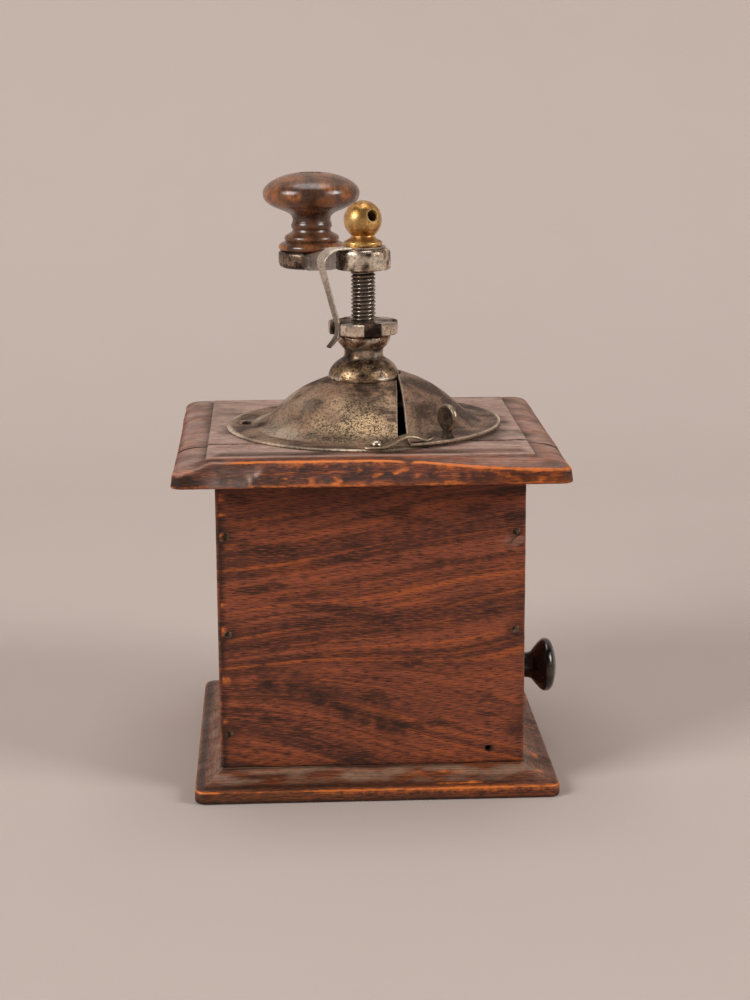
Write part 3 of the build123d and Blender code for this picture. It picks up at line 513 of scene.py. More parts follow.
@dataclass(frozen=True)
class Slab:
    """A board with uneven worn arrises.

    Attributes:
        low, high: Its corners.
        arris: Mean rounding of its edges.
        pitch: Spacing of its vertices.
        wear: How bare the arrises are.
        layer: Number that picks another pattern of wear.
        stain: Dirt and painted shade, painted besides the wear, by the point.
    """

    low: Spot
    high: Spot
    arris: float = 0.8
    pitch: float = 2.4
    wear: float = 1.0
    layer: float = 0.0
    stain: Toucher = UNTOUCHED

    @classmethod
    def of(cls, node: str, **settings: float | Toucher) -> "Slab":
        """Board in the place of a solid, with other fields as they are set."""
        low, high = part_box(node)
        return cls(tuple(low / MM), tuple(high / MM), **settings)

    def worn_in(self, spot: Spot) -> tuple[Vector, float]:
        """Move a point of the plain box onto the worn board.

        Args:
            spot: Point on the plain box.

        Returns:
            The new point, and how near it is to an arris from 0 to 1.
        """
        uneven = 0.5 + 0.5 * ripple(spot, 11.0, self.layer) + 0.35 * ripple(spot, 3.2, self.layer + 1)
        thinnest = min(high - low for low, high in zip(self.low, self.high))
        radius = min(self.arris * between(0.45, 1.5, min(max(uneven, 0.0), 1.0)), thinnest * 0.45)
        sides = zip(spot, self.low, self.high)
        core = Vector([min(max(c, low + radius), high - radius) for c, low, high in sides])
        away = Vector(spot) - core
        second = sorted(abs(c) for c in away)[1]
        return core + away.normalized() * radius, second / radius

    def make(self, name: str) -> Thing:
        """Turn the board into an object.

        Args:
            name: The object's name.

        Returns:
            The object.
        """
        draft = Draft()
        lines = []
        for low, high in zip(self.low, self.high):
            lines.append(ticks(low, high, min(1.5 * self.arris, 0.3 * (high - low)), self.pitch))
        ends = [len(line) - 1 for line in lines]
        known: dict[tuple[int, ...], int] = {}

        def corner(key: tuple[int, ...]) -> int:
            """Vertex at a place of the grid, made when it is first asked for.

            Args:
                key: Its steps along the three axes.

            Returns:
                Its index.
            """
            if key not in known:
                spot = tuple(line[step] for line, step in zip(lines, key))
                moved, edge = self.worn_in(spot)
                uneven = ripple(spot, 14.0, self.layer + 2) + 0.5 * ripple(spot, 4.0, self.layer + 3)
                bare = ease(0.2, 0.85, edge) * self.wear * ease(-0.45, 0.3, uneven)
                extra = self.stain(moved)
                known[key] = draft.dot(moved, Touch(max(bare, extra.worn), extra.scar, extra.grime))
            return known[key]

        for axis in range(3):
            one, two = [other for other in range(3) if other != axis]
            for level, i, j in product((0, ends[axis]), range(ends[one]), range(ends[two])):
                keys = []
                for a, b in ((i, j), (i + 1, j), (i + 1, j + 1), (i, j + 1)):
                    key = {axis: level, one: a, two: b}
                    keys.append(corner((key[0], key[1], key[2])))
                draft.face(*keys)
        return draft.make(name, Crease.COARSE)


def square_ring(half: float, corner: float, inner: float, count: int) -> list[Flat]:
    """Points round a square with rounded corners, from the front left anticlockwise.

    Args:
        half: Half the square's width.
        corner: Radius of its corners.
        inner: How far from the middle of a side its points stay in line from ring to ring.
        count: Pieces along that stretch.

    Returns:
        The points, the same number for every ring.
    """
    sides, spread_steps, corner_steps = 4, 4, 5
    centre = half - corner
    spread = [between(inner, centre, step / spread_steps) for step in range(1, spread_steps + 1)]
    run = [between(-inner, inner, step / count) for step in range(count + 1)]
    side = [(u, -half) for u in [*[-u for u in reversed(spread)], *run, *spread]]
    turns = [between(-QUARTER_TURN, 0.0, step / corner_steps) for step in range(1, corner_steps)]
    arc = [polar(corner, degrees) for degrees in turns]
    quarter = side + [(centre + x, -centre + y) for x, y in arc]
    ring = []
    for _ in range(sides):
        ring += quarter
        quarter = [(-y, x) for x, y in quarter]
    return ring


def ribbon(
    draft: Draft,
    path: Sequence[Spot],
    across: Sequence[Vector],
    sizes: Sequence[Flat],
    soft: float,
    touch: Toucher = UNTOUCHED,
) -> None:
    """Add a bar or strip bent along a path.

    Args:
        draft: The mesh that it goes into.
        path: Middle line.
        across: Direction of the width at each point.
        sizes: Width and thickness at each point.
        soft: Rounding of the section's corners.
        touch: What is painted, by the point.
    """
    rows = []
    for index, (spot, wide, (width, thick)) in enumerate(zip(path, across, sizes)):
        ahead = Vector(path[min(index + 1, len(path) - 1)]) - Vector(path[max(index - 1, 0)])
        wide = (wide - ahead.normalized() * wide.dot(ahead.normalized())).normalized()
        rise = wide.cross(ahead).normalized()
        w, t = width / 2, thick / 2
        r = min(soft, t * 0.9)
        section = []
        for sx, sy, turned in ((1, -1, False), (1, 1, True), (-1, 1, False), (-1, -1, True)):
            arc = (math.pi / 2, math.pi / 4, 0)
            bits = [(w - r + r * math.sin(a), t - r + r * math.cos(a)) for a in arc]
            section += [(sx * u, sy * v) for u, v in (reversed(bits) if not turned else bits)]
        rows.append(draft.row([Vector(spot) + wide * u + rise * v for u, v in section], touch))
    draft.tube(rows)


def shell(
    draft: Draft,
    profile: Sequence[Flat],
    thick: float,
    span: Callable[[float], Flat],
    columns: int,
    dent: Callable[[Point], float],
    touch: Toucher,
) -> None:
    """Add a sheet of even thickness whose sides are cut off.

    Args:
        draft: The mesh that it goes into.
        profile: Radius and height of the outer skin, from the crown out.
        thick: The sheet's thickness.
        span: Angles in degrees that the sheet covers at a radius.
        columns: Pieces round the sheet.
        dent: How far a point of the sheet is pushed out.
        touch: What is painted, by the point.
    """
    edge = 0.35
    inside = [column / columns for column in range(1, columns)]
    outer, inner = [], []
    for index, (radius, height) in enumerate(profile):
        before, after = profile[max(index - 1, 0)], profile[min(index + 1, len(profile) - 1)]
        out = Vector((before[1] - after[1], after[0] - before[0])).normalized()
        start, end = span(radius)
        rows: tuple[list[int], list[int]] = ([], [])
        margin = math.degrees(edge / radius) / (end - start)
        for share in [0.0, margin, *inside, 1.0 - margin, 1.0]:
            degrees = between(start, end, share)
            push = dent((*polar(radius, degrees), height))
            for row, depth in zip(rows, (0.0, thick)):
                r, z = radius + out.x * (push - depth), height + out.y * (push - depth)
                spot = (*polar(r, degrees), z)
                row.append(draft.dot(spot, touch(spot)))
        outer.append(rows[0])
        inner.append(rows[1])
    draft.skin([*outer, *reversed(inner)], loop=False, closed=True)
    for side in (0, -1):
        for a, b, c, d in zip(outer, outer[1:], inner[1:], inner):
            draft.face(a[side], b[side], c[side], d[side])


class Paintbox:
    """Node tree of one finish, with textures sized in millimetres of the piece's own frame."""

    def __init__(self, name: str) -> None:
        """Start a finish.

        Args:
            name: The material's name.
        """
        self.material = bpy.data.materials.new(name)
        self.material.use_nodes = True
        self.tree = self.material.node_tree
        self.tree.nodes.clear()
        self.surface = self.add("ShaderNodeBsdfPrincipled")
        result = self.add("ShaderNodeOutputMaterial")
        self.tree.links.new(self.surface.outputs[0], result.inputs[0])
        coords = self.add("ShaderNodeTexCoord").outputs["Object"]
        self.place = self.add("ShaderNodeVectorMath", {0: coords, 3: 1 / MM}, operation="SCALE").outputs[0]

    def add(self, kind: str, inputs: dict | None = None, **settings: object) -> bpy.types.Node:
        """Add a node.

        Args:
            kind: Its type.
            inputs: Sockets to link or values to set, by the input's name or number.
            settings: Its other properties.

        Returns:
            The node.
        """
        node = self.tree.nodes.new(kind)
        for key, value in settings.items():
            setattr(node, key, value)
        for key, value in (inputs or {}).items():
            self.put(node, key, value)
        return node

    def put(self, node: bpy.types.Node, key: str | int, value: object) -> None:
        """Link a socket to a node's input, or set the input's value.

        Args:
            node: The node.
            key: The input's name or number.
            value: What it is linked to or set to.
        """
        if isinstance(value, Socket):
            self.tree.links.new(value, node.inputs[key])
        else:
            node.inputs[key].default_value = value

    def grain_place(self, grain: Grain) -> Socket:
        """Coordinates with the grain along the first axis."""
        parts = self.add("ShaderNodeSeparateXYZ", {0: self.place}).outputs
        ways = {index: parts[axis] for index, axis in enumerate(grain.value)}
        return self.add("ShaderNodeCombineXYZ", ways).outputs[0]

    def noise(
        self, place: Socket, size: Spot, detail: float = 3.0, rough: float = 0.55, twist: float = 0.0
    ) -> Socket:
        """Noise texture.

        Args:
            place: Coordinates in millimetres.
            size: Millimetres per cell along each axis.
            detail: Octaves.
            rough: Weight of the finer octaves.
            twist: How far the noise distorts itself.

        Returns:
            A value from 0 to 1.
        """
        scaled = self.add("ShaderNodeVectorMath", {0: place, 1: size}, operation="DIVIDE").outputs[0]
        settings = {"Vector": scaled, "Scale": 1.0, "Detail": detail, "Roughness": rough, "Distortion": twist}
        return self.add("ShaderNodeTexNoise", settings).outputs[0]

    def window(self, value: Socket, low: float, high: float, start: float = 0.0, end: float = 1.0) -> Socket:
        """Value that goes smoothly from start at low to end at high."""
        inputs = {0: value, 1: low, 2: high, 3: start, 4: end}
        return self.add("ShaderNodeMapRange", inputs, interpolation_type="SMOOTHSTEP").outputs[0]

    def maths(self, operation: str, one: Socket | float, two: Socket | float = 0.0) -> Socket:
        """One sum of two values, kept between 0 and 1."""
        return self.add("ShaderNodeMath", {0: one, 1: two}, operation=operation, use_clamp=True).outputs[0]

    def reckon(self, operation: str, one: Socket | float, two: Socket | float = 0.0) -> Socket:
        """One sum of two values, not limited."""
        return self.add("ShaderNodeMath", {0: one, 1: two}, operation=operation).outputs[0]

    def mix(self, share: Socket | float, one: Socket | Colour, two: Socket | Colour) -> Socket:
        """Mix of two colours."""
        return self.add("ShaderNodeMix", {0: share, 6: one, 7: two}, data_type="RGBA").outputs[2]

    def painted(self, paint: Paint) -> Socket:
        """Value painted on the vertices."""
        return self.add("ShaderNodeAttribute", attribute_name=paint.value).outputs["Fac"]

    def relief(self, height: Socket, depth: float, under: Socket | None = None) -> Socket:
        """Bump.

        Args:
            height: Height from 0 to 1.
            depth: Millimetres between the two.
            under: Normal of a coarser bump.

        Returns:
            The normal.
        """
        inputs = {"Height": height, "Distance": depth * MM, "Strength": 1.0}
        if under is not None:
            inputs["Normal"] = under
        return self.add("ShaderNodeBump", inputs).outputs[0]

    def finish(self, colour: Socket, rough: Socket, normal: Socket, **fixed: float) -> bpy.types.Material:
        """Feed the surface and give the material.

        Args:
            colour, rough, normal: Sockets for the surface.
            fixed: Other inputs of the surface, with _ for a space in their names.

        Returns:
            The material.
        """
        for key, value in {"Base Color": colour, "Roughness": rough, "Normal": normal}.items():
            self.put(self.surface, key, value)
        for key, value in fixed.items():
            self.put(self.surface, key.replace("_", " "), value)
        return self.material


@dataclass(frozen=True)
class WoodFinish:
    """Old stained and varnished wood.

    Attributes:
        name, grain: The material's name and where the grain runs.
        body, deep, dark, glow: Main colour, darker bands, near-black streaks and bright streaks.
        worn, scar, grime: Bare arrises, broken wood and dirt; the first two also colour painted highlights,
            the last painted shade.
        slants, levels: Rise of the figure along the grain, low down and high up, and these two heights.
        rough, coat, shine: The varnish's roughness and weight, and the wood's own reflection.
        streaky: Strength of the streaks.
        mitred: Whether the grain follows each side of a mitred frame.
        depth: How far the lines fall for each millimetre into the board.
    """

    name: str
    grain: Grain
    body: Colour = ink(133, 70, 49)
    deep: Colour = ink(88, 47, 36)
    dark: Colour = ink(48, 28, 20)
    glow: Colour = ink(176, 90, 44)
    worn: Colour = ink(216, 118, 46)
    scar: Colour = ink(178, 152, 138)
    grime: Colour = ink(34, 24, 19)
    slants: Flat = (0.0, 0.05)
    levels: Flat = (0.0, 50.0)
    rough: float = 0.4
    coat: float = 0.1
    shine: float = 0.22
    streaky: float = 1.0
    mitred: bool = False
    depth: float = 1.0

    def material(self) -> bpy.types.Material:
        """Build the finish.

        Returns:
            The material.
        """
        box = Paintbox(self.name)
        straight = box.grain_place(self.grain)
        along, across, up = box.add("ShaderNodeSeparateXYZ", {0: straight}).outputs
        if self.mitred:
            reach = [box.reckon("ABSOLUTE", way) for way in (along, across)]
            side = box.maths("GREATER_THAN", *reach)
            swap = box.reckon("MULTIPLY", side, box.reckon("SUBTRACT", across, along))
            along, across = box.reckon("ADD", along, swap), box.reckon("SUBTRACT", across, swap)
        inward = box.reckon("MULTIPLY", box.reckon("ABSOLUTE", across), self.depth)
        height = box.reckon("SUBTRACT", up, inward)
        sway = box.reckon("MULTIPLY", box.noise(straight, (80.0, 40.0, 40.0), 1.0), 12.0)
        slope = box.window(up, *self.levels, *self.slants)
        lift = box.reckon("SUBTRACT", sway, box.reckon("MULTIPLY", along, slope))
        quiver = box.reckon("MULTIPLY", box.noise(straight, (16.0, 7.0, 7.0), 2.0), 0.9)
        places = [{0: along, 1: box.reckon("ADD", height, shift)} for shift in (lift, quiver)]
        figure, weave = [box.add("ShaderNodeCombineXYZ", place).outputs[0] for place in places]
        bands = box.noise(figure, (220.0, 9.0, 9.0), 2.0, 0.5)
        streaks = box.noise(figure, (170.0, 2.4, 2.4), 2.0, 0.5)
        lines = box.noise(figure, (46.0, 0.9, 0.9), 2.0, 0.5)
        fibres = box.noise(weave, (3.2, 0.27, 0.27), 2.0, 0.55)
        blotch = box.noise(straight, (30.0, 7.0, 7.0), 4.0, 0.65)
        mottle = box.noise(straight, (2.4, 1.6, 1.6), 4.0, 0.65)
        colour = box.mix(box.window(bands, 0.38, 0.6), self.deep, self.body)
        lively = self.streaky
        for layer, low, high, start, end, tint in (
            (streaks, 0.53, 0.7, 0.0, 0.7 * lively, self.glow),
            (streaks, 0.31, 0.45, 0.6 * lively, 0.0, self.dark),
            (lines, 0.54, 0.7, 0.0, 0.35 * lively, self.glow),
            (lines, 0.32, 0.46, 0.25 * lively, 0.0, self.dark),
            (blotch, 0.53, 0.64, 0.0, 0.75, self.dark),
            (blotch, 0.32, 0.46, 0.3 * lively, 0.0, self.glow),
            (fibres, 0.5, 0.64, 0.0, 0.85, self.dark),
            (fibres, 0.32, 0.46, 0.45, 0.0, self.glow),
        ):
            colour = box.mix(box.window(layer, low, high, start, end), colour, tint)
        # The painted scar value also carries a painted highlight on the left end of the top board's front
        # arris.
        broken = box.painted(Paint.SCAR)
        weathered = box.mix(box.window(lines, 0.36, 0.56, 0.3, 0.0), self.scar, self.deep)
        weathered = box.mix(box.window(fibres, 0.5, 0.68, 0.0, 0.45), weathered, self.dark)
        torn = box.maths("MULTIPLY", broken, box.window(mottle, 0.25, 0.6, 0.6, 1.0))
        colour = box.mix(torn, colour, weathered)
        # The painted dirt value also carries painted shade in holes, the crack, the step at the board's
        # field, under the top board and along the base.
        dirt = box.maths("MULTIPLY", box.painted(Paint.GRIME), box.window(mottle, 0.3, 0.6, 0.6, 1.0))
        colour = box.mix(dirt, colour, self.grime)
        # The painted wear value also carries a painted highlight on the base's front rim.
        bare = box.painted(Paint.WORN)
        rubbed = box.window(box.maths("ADD", bare, box.reckon("SUBTRACT", mottle, 0.5)), 0.3, 0.85)
        raw = box.mix(box.window(streaks, 0.35, 0.65, 0.65, 0.0), self.worn, self.glow)
        colour = box.mix(rubbed, colour, raw)
        rough = box.window(blotch, 0.3, 0.7, self.rough - 0.08, self.rough + 0.14)
        rough = box.maths("ADD", rough, box.maths("MULTIPLY", broken, 0.3))
        rough = box.maths("ADD", rough, box.window(fibres, 0.45, 0.75, 0.0, 0.12))
        coarse = box.relief(mottle, 0.07)
        normal = box.relief(box.window(fibres, 0.4, 0.7, 1.0, 0.0), 0.04, coarse)
        varnish = {"Coat_Weight": self.coat, "Coat_Roughness": 0.22, "Specular_IOR_Level": self.shine}
        return box.finish(colour, rough, normal, **varnish)


@dataclass(frozen=True)
class MetalFinish:
    """Old bare metal with patina, pits and rubbed edges.

    Attributes:
        name: The material's name.
        base, dark, patina: Main colour, dark stains, and the crust where it is painted or blotchy.
        bright, soot: Rubbed edges and dirt, which also colour painted highlights and painted shade.
        crust: How much of the surface the patina takes by itself.
        blotch, pit, depth: Millimetres between stains and between pits, and the pits' depth.
        shine, metal: Lowest and highest roughness, and the share of metal in the surface.
    """

    name: str
    base: Colour = ink(150, 128, 108)
    dark: Colour = ink(70, 54, 42)
    patina: Colour = ink(190, 160, 112)
    bright: Colour = ink(225, 205, 180)
    soot_and_shade: Colour = ink(34, 25, 19)
    crust: float = 0.0
    blotch: float = 8.0
    pit: float = 0.8
    depth: float = 0.05
    shine: Flat = (0.28, 0.5)
    metal: float = 0.9

    def material(self) -> bpy.types.Material:
        """Build the finish.

        Returns:
            The material.
        """
        box = Paintbox(self.name)
        stain = box.noise(box.place, (self.blotch,) * 3, 5.0, 0.62, 0.3)
        pits = box.noise(box.place, (self.pit,) * 3, 4.0, 0.7)
        speck = box.noise(box.place, (self.pit * 0.45,) * 3, 2.0, 0.6)
        scratch = box.noise(box.place, (self.blotch, self.blotch * 0.8, self.pit * 0.4), 3.0, 0.6)
        colour = box.mix(box.window(stain, 0.4, 0.6), self.dark, self.base)
        colour = box.mix(box.window(scratch, 0.56, 0.7, 0.0, 0.2), colour, self.bright)
        colour = box.mix(box.window(pits, 0.4, 0.52, 0.6, 0.0), colour, self.dark)
        seat = box.maths("ADD", box.painted(Paint.SCAR), box.window(stain, 0.5, 0.7, 0.0, self.crust))
        grains = [box.reckon("MULTIPLY", layer, part) for layer, part in ((pits, 0.55), (speck, 0.45))]
        grit = box.window(box.reckon("ADD", *grains), 0.45, 0.55)
        colour = box.mix(box.maths("MULTIPLY", seat, grit), colour, self.patina)
        pocked = box.window(speck, 0.32, 0.46, 0.9, 0.0)
        holes = box.maths("MULTIPLY", pocked, box.window(seat, 0.0, 0.5, 0.45, 1.0))
        colour = box.mix(holes, colour, self.dark)
        # The painted dirt value also carries painted shade in holes and notches, on the hub's left side, over
        # the crank arm and under the thumb lug.
        dirt = box.maths("MULTIPLY", box.painted(Paint.GRIME), box.window(pits, 0.3, 0.6, 1.0, 0.7))
        colour = box.mix(dirt, colour, self.soot_and_shade)
        # The painted wear value also carries painted highlights on the collar, the hub and the dome's left
        # flank.
        rubbed = box.maths("MULTIPLY", box.painted(Paint.WORN), box.window(pits, 0.32, 0.55, 0.3, 1.0))
        colour = box.mix(rubbed, colour, self.bright)
        rough = box.window(stain, 0.3, 0.7, self.shine[1], self.shine[0])
        rough = box.maths("ADD", rough, box.maths("MULTIPLY", seat, 0.2))
        rough = box.maths("ADD", rough, box.window(pits, 0.5, 0.35, 0.0, 0.15))
        rough = box.maths("ADD", rough, box.maths("MULTIPLY", dirt, 0.3))
        clean = box.maths("SUBTRACT", 1.0, dirt)
        box.put(box.surface, "Metallic", box.maths("MULTIPLY", clean, self.metal))
        box.put(box.surface, "Specular IOR Level", box.maths("MULTIPLY", clean, 0.5))
        coarse = box.relief(stain, self.depth * 2.0)
        normal = box.relief(pits, self.depth, coarse)
        return box.finish(colour, rough, normal)


@dataclass(frozen=True)
class LacquerFinish:
    """Turned wood under glossy lacquer that is rubbed through in places.

    Attributes:
        name, grain: The material's name and where the grain runs.
        body, dark, worn: Colours of the lacquer and of the wood under it; the last also colours painted light
            in the knob's top recess.
        bare, rough: How much is rubbed through, from 0 to 1, and the lacquer's roughness.
    """

    name: str
    grain: Grain
    body: Colour = ink(122, 76, 46)
    dark: Colour = ink(64, 39, 26)
    worn: Colour = ink(196, 112, 46)
    bare: float = 0.35
    rough: float = 0.26

    def material(self) -> bpy.types.Material:
        """Build the finish.

        Returns:
            The material.
        """
        box = Paintbox(self.name)
        place = box.grain_place(self.grain)
        cloud = box.noise(place, (9.0, 7.0, 7.0), 4.0, 0.6)
        streaks = box.noise(place, (16.0, 1.0, 1.0), 4.0, 0.6)
        crackle = box.noise(place, (1.6, 1.2, 1.2), 3.0, 0.6)
        colour = box.mix(box.window(cloud, 0.38, 0.62), self.dark, self.body)
        colour = box.mix(box.window(streaks, 0.48, 0.7, 0.0, 0.4), colour, self.dark)
        # The painted wear value also lightens the knob's top recess, painted light against its shade.
        seat = box.maths("ADD", box.painted(Paint.WORN), box.window(cloud, 0.54, 0.68, 0.0, self.bare))
        rubbed = box.maths("MULTIPLY", seat, box.window(crackle, 0.35, 0.62, 0.25, 1.0))
        colour = box.mix(rubbed, colour, self.worn)
        colour = box.mix(box.maths("MULTIPLY", box.painted(Paint.GRIME), 0.85), colour, self.dark)
        rough = box.window(crackle, 0.3, 0.7, self.rough - 0.06, self.rough + 0.14)
        coarse = box.relief(cloud, 0.12)
        normal = box.relief(crackle, 0.035, coarse)
        return box.finish(colour, rough, normal, Coat_Weight=0.3, Coat_Roughness=0.2)


Finish = WoodFinish | MetalFinish | LacquerFinish


@dataclass
class Bench:
    """Joins finished meshes to the frame.

    Attributes:
        solids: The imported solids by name.
        made: Materials already built, by the finish's name.
        count: Pieces fitted so far.
    """

    solids: dict[str, Thing]
    made: dict[str, bpy.types.Material] = field(default_factory=dict)
    count: int = 0

    def material(self, finish: Finish) -> bpy.types.Material:
        """Material of a finish, built when it is first asked for."""
        if finish.name not in self.made:
            self.made[finish.name] = finish.material()
        return self.made[finish.name]

    def fit(self, piece: Thing, body: Body, slot: Slot, finish: Finish, *nodes: str) -> None:
        """Dress a new piece and let it ride on its body.

        Args:
            piece: The piece, in place.
            body: What it moves with.
            slot: The record's slot for its finish; not used.
            finish: Its finish.
            nodes: Solids that it stands for.
        """
        piece.data.materials.clear()
        piece.data.materials.append(self.material(finish))
        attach(piece, body.value)
        if nodes:
            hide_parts(*nodes)
        self.count += 1
        log.info("%s rides on %s in %s", piece.name, body.value, finish.name)

    def keep(self, finish: Finish, *nodes: str) -> None:
        """Dress solids that keep their shape.

        Args:
            finish: Their finish.
            nodes: Their names.
        """
        for node in nodes:
            self.solids[node].data.materials.clear()
            self.solids[node].data.materials.append(self.material(finish))
            self.count += 1
            log.info("%s keeps its solid in %s", node, finish.name)


CASE_WOOD = WoodFinish(
    "stained case wood", Grain.ALONG_X, slants=(-0.3, 0.14), levels=(18.0, 52.0), depth=0.25
)
SIDE_WOOD = WoodFinish("stained side wood", Grain.ALONG_Y, depth=0.25)
BASE_WOOD = WoodFinish(
    "stained base wood", Grain.ALONG_X, body=ink(98, 58, 36), scar=ink(150, 125, 104), slants=(0.0, 0.0),
    mitred=True,
)
BOARD_WOOD = WoodFinish(
    "worn top board", Grain.ALONG_X, body=ink(118, 59, 31), glow=ink(184, 92, 38), slants=(0.0, 0.0),
    rough=0.45, depth=0.6,
)
RAW_WOOD = WoodFinish(
    "bare drawer wood", Grain.ALONG_X, body=ink(150, 112, 78), deep=ink(132, 96, 66), dark=ink(104, 72, 48),
    glow=ink(166, 124, 84), worn=ink(184, 146, 104), rough=0.62, coat=0.0, streaky=0.6,
)
KNOB_LACQUER = LacquerFinish("rubbed knob lacquer", Grain.ALONG_Z)
PULL_LACQUER = LacquerFinish(
    "black pull lacquer", Grain.ALONG_X, body=ink(25, 17, 14), dark=ink(12, 8, 7), worn=ink(96, 62, 40),
    bare=0.12, rough=0.16,
)
SHEET_STEEL = MetalFinish(
    "patinated sheet steel", base=ink(154, 123, 98), dark=ink(66, 48, 36), patina=ink(224, 193, 150),
    soot_and_shade=ink(50, 38, 30), blotch=9.0, pit=0.85, depth=0.09, shine=(0.4, 0.55), metal=0.7,
)
DOOR_STEEL = MetalFinish(
    "brown sheet steel", base=ink(148, 118, 97), dark=ink(72, 54, 43), patina=ink(160, 132, 106),
    soot_and_shade=ink(42, 32, 26), crust=0.35, blotch=10.0, pit=0.9, depth=0.06, shine=(0.36, 0.52), metal=0.75,
)
CLIP_STEEL = MetalFinish(
    "dark strip steel", base=ink(96, 78, 62), dark=ink(48, 37, 29), bright=ink(196, 174, 146),
    blotch=4.0, pit=0.6, depth=0.03, shine=(0.28, 0.42),
)
TURNED_STEEL = MetalFinish(
    "turned steel", base=ink(170, 141, 116), dark=ink(48, 35, 27), patina=ink(170, 138, 96),
    bright=ink(236, 218, 198), crust=0.35, blotch=4.0, pit=0.9, depth=0.06, shine=(0.16, 0.32),
)
SPINDLE_STEEL = MetalFinish(
    "oily threaded steel", base=ink(130, 108, 93), dark=ink(36, 26, 20), soot_and_shade=ink(16, 11, 8),
    bright=ink(200, 184, 168), blotch=3.0, pit=0.6, depth=0.02, shine=(0.16, 0.3),
)
SPRING_STEEL = MetalFinish(
    "grey spring steel", base=ink(132, 116, 103), dark=ink(70, 56, 47), bright=ink(226, 212, 196),
    blotch=5.0, pit=0.6, depth=0.03, shine=(0.26, 0.4),
)
FORGED_IRON = MetalFinish(
    "forged crank iron", base=ink(150, 126, 108), dark=ink(44, 31, 24), patina=ink(186, 158, 128),
    bright=ink(236, 218, 196), crust=0.35, blotch=2.8, pit=0.9, depth=0.09, shine=(0.18, 0.34),
)
CAST_BURR = MetalFinish(
    "cast burr iron", base=ink(92, 82, 76), dark=ink(48, 40, 36), blotch=9.0, pit=0.8, depth=0.08,
    shine=(0.45, 0.65),
)
NAIL_IRON = MetalFinish(
    "nail iron", base=ink(120, 100, 84), dark=ink(48, 36, 30), blotch=1.6, pit=0.4, depth=0.03,
    shine=(0.3, 0.5),
)
OLD_BRASS = MetalFinish(
    "old brass", base=ink(236, 184, 108), dark=ink(150, 100, 46), patina=ink(160, 120, 66),
    bright=ink(250, 216, 150), soot_and_shade=ink(70, 44, 18), crust=0.3, blotch=3.2, pit=0.7, depth=0.03,
    shine=(0.2, 0.34),
)


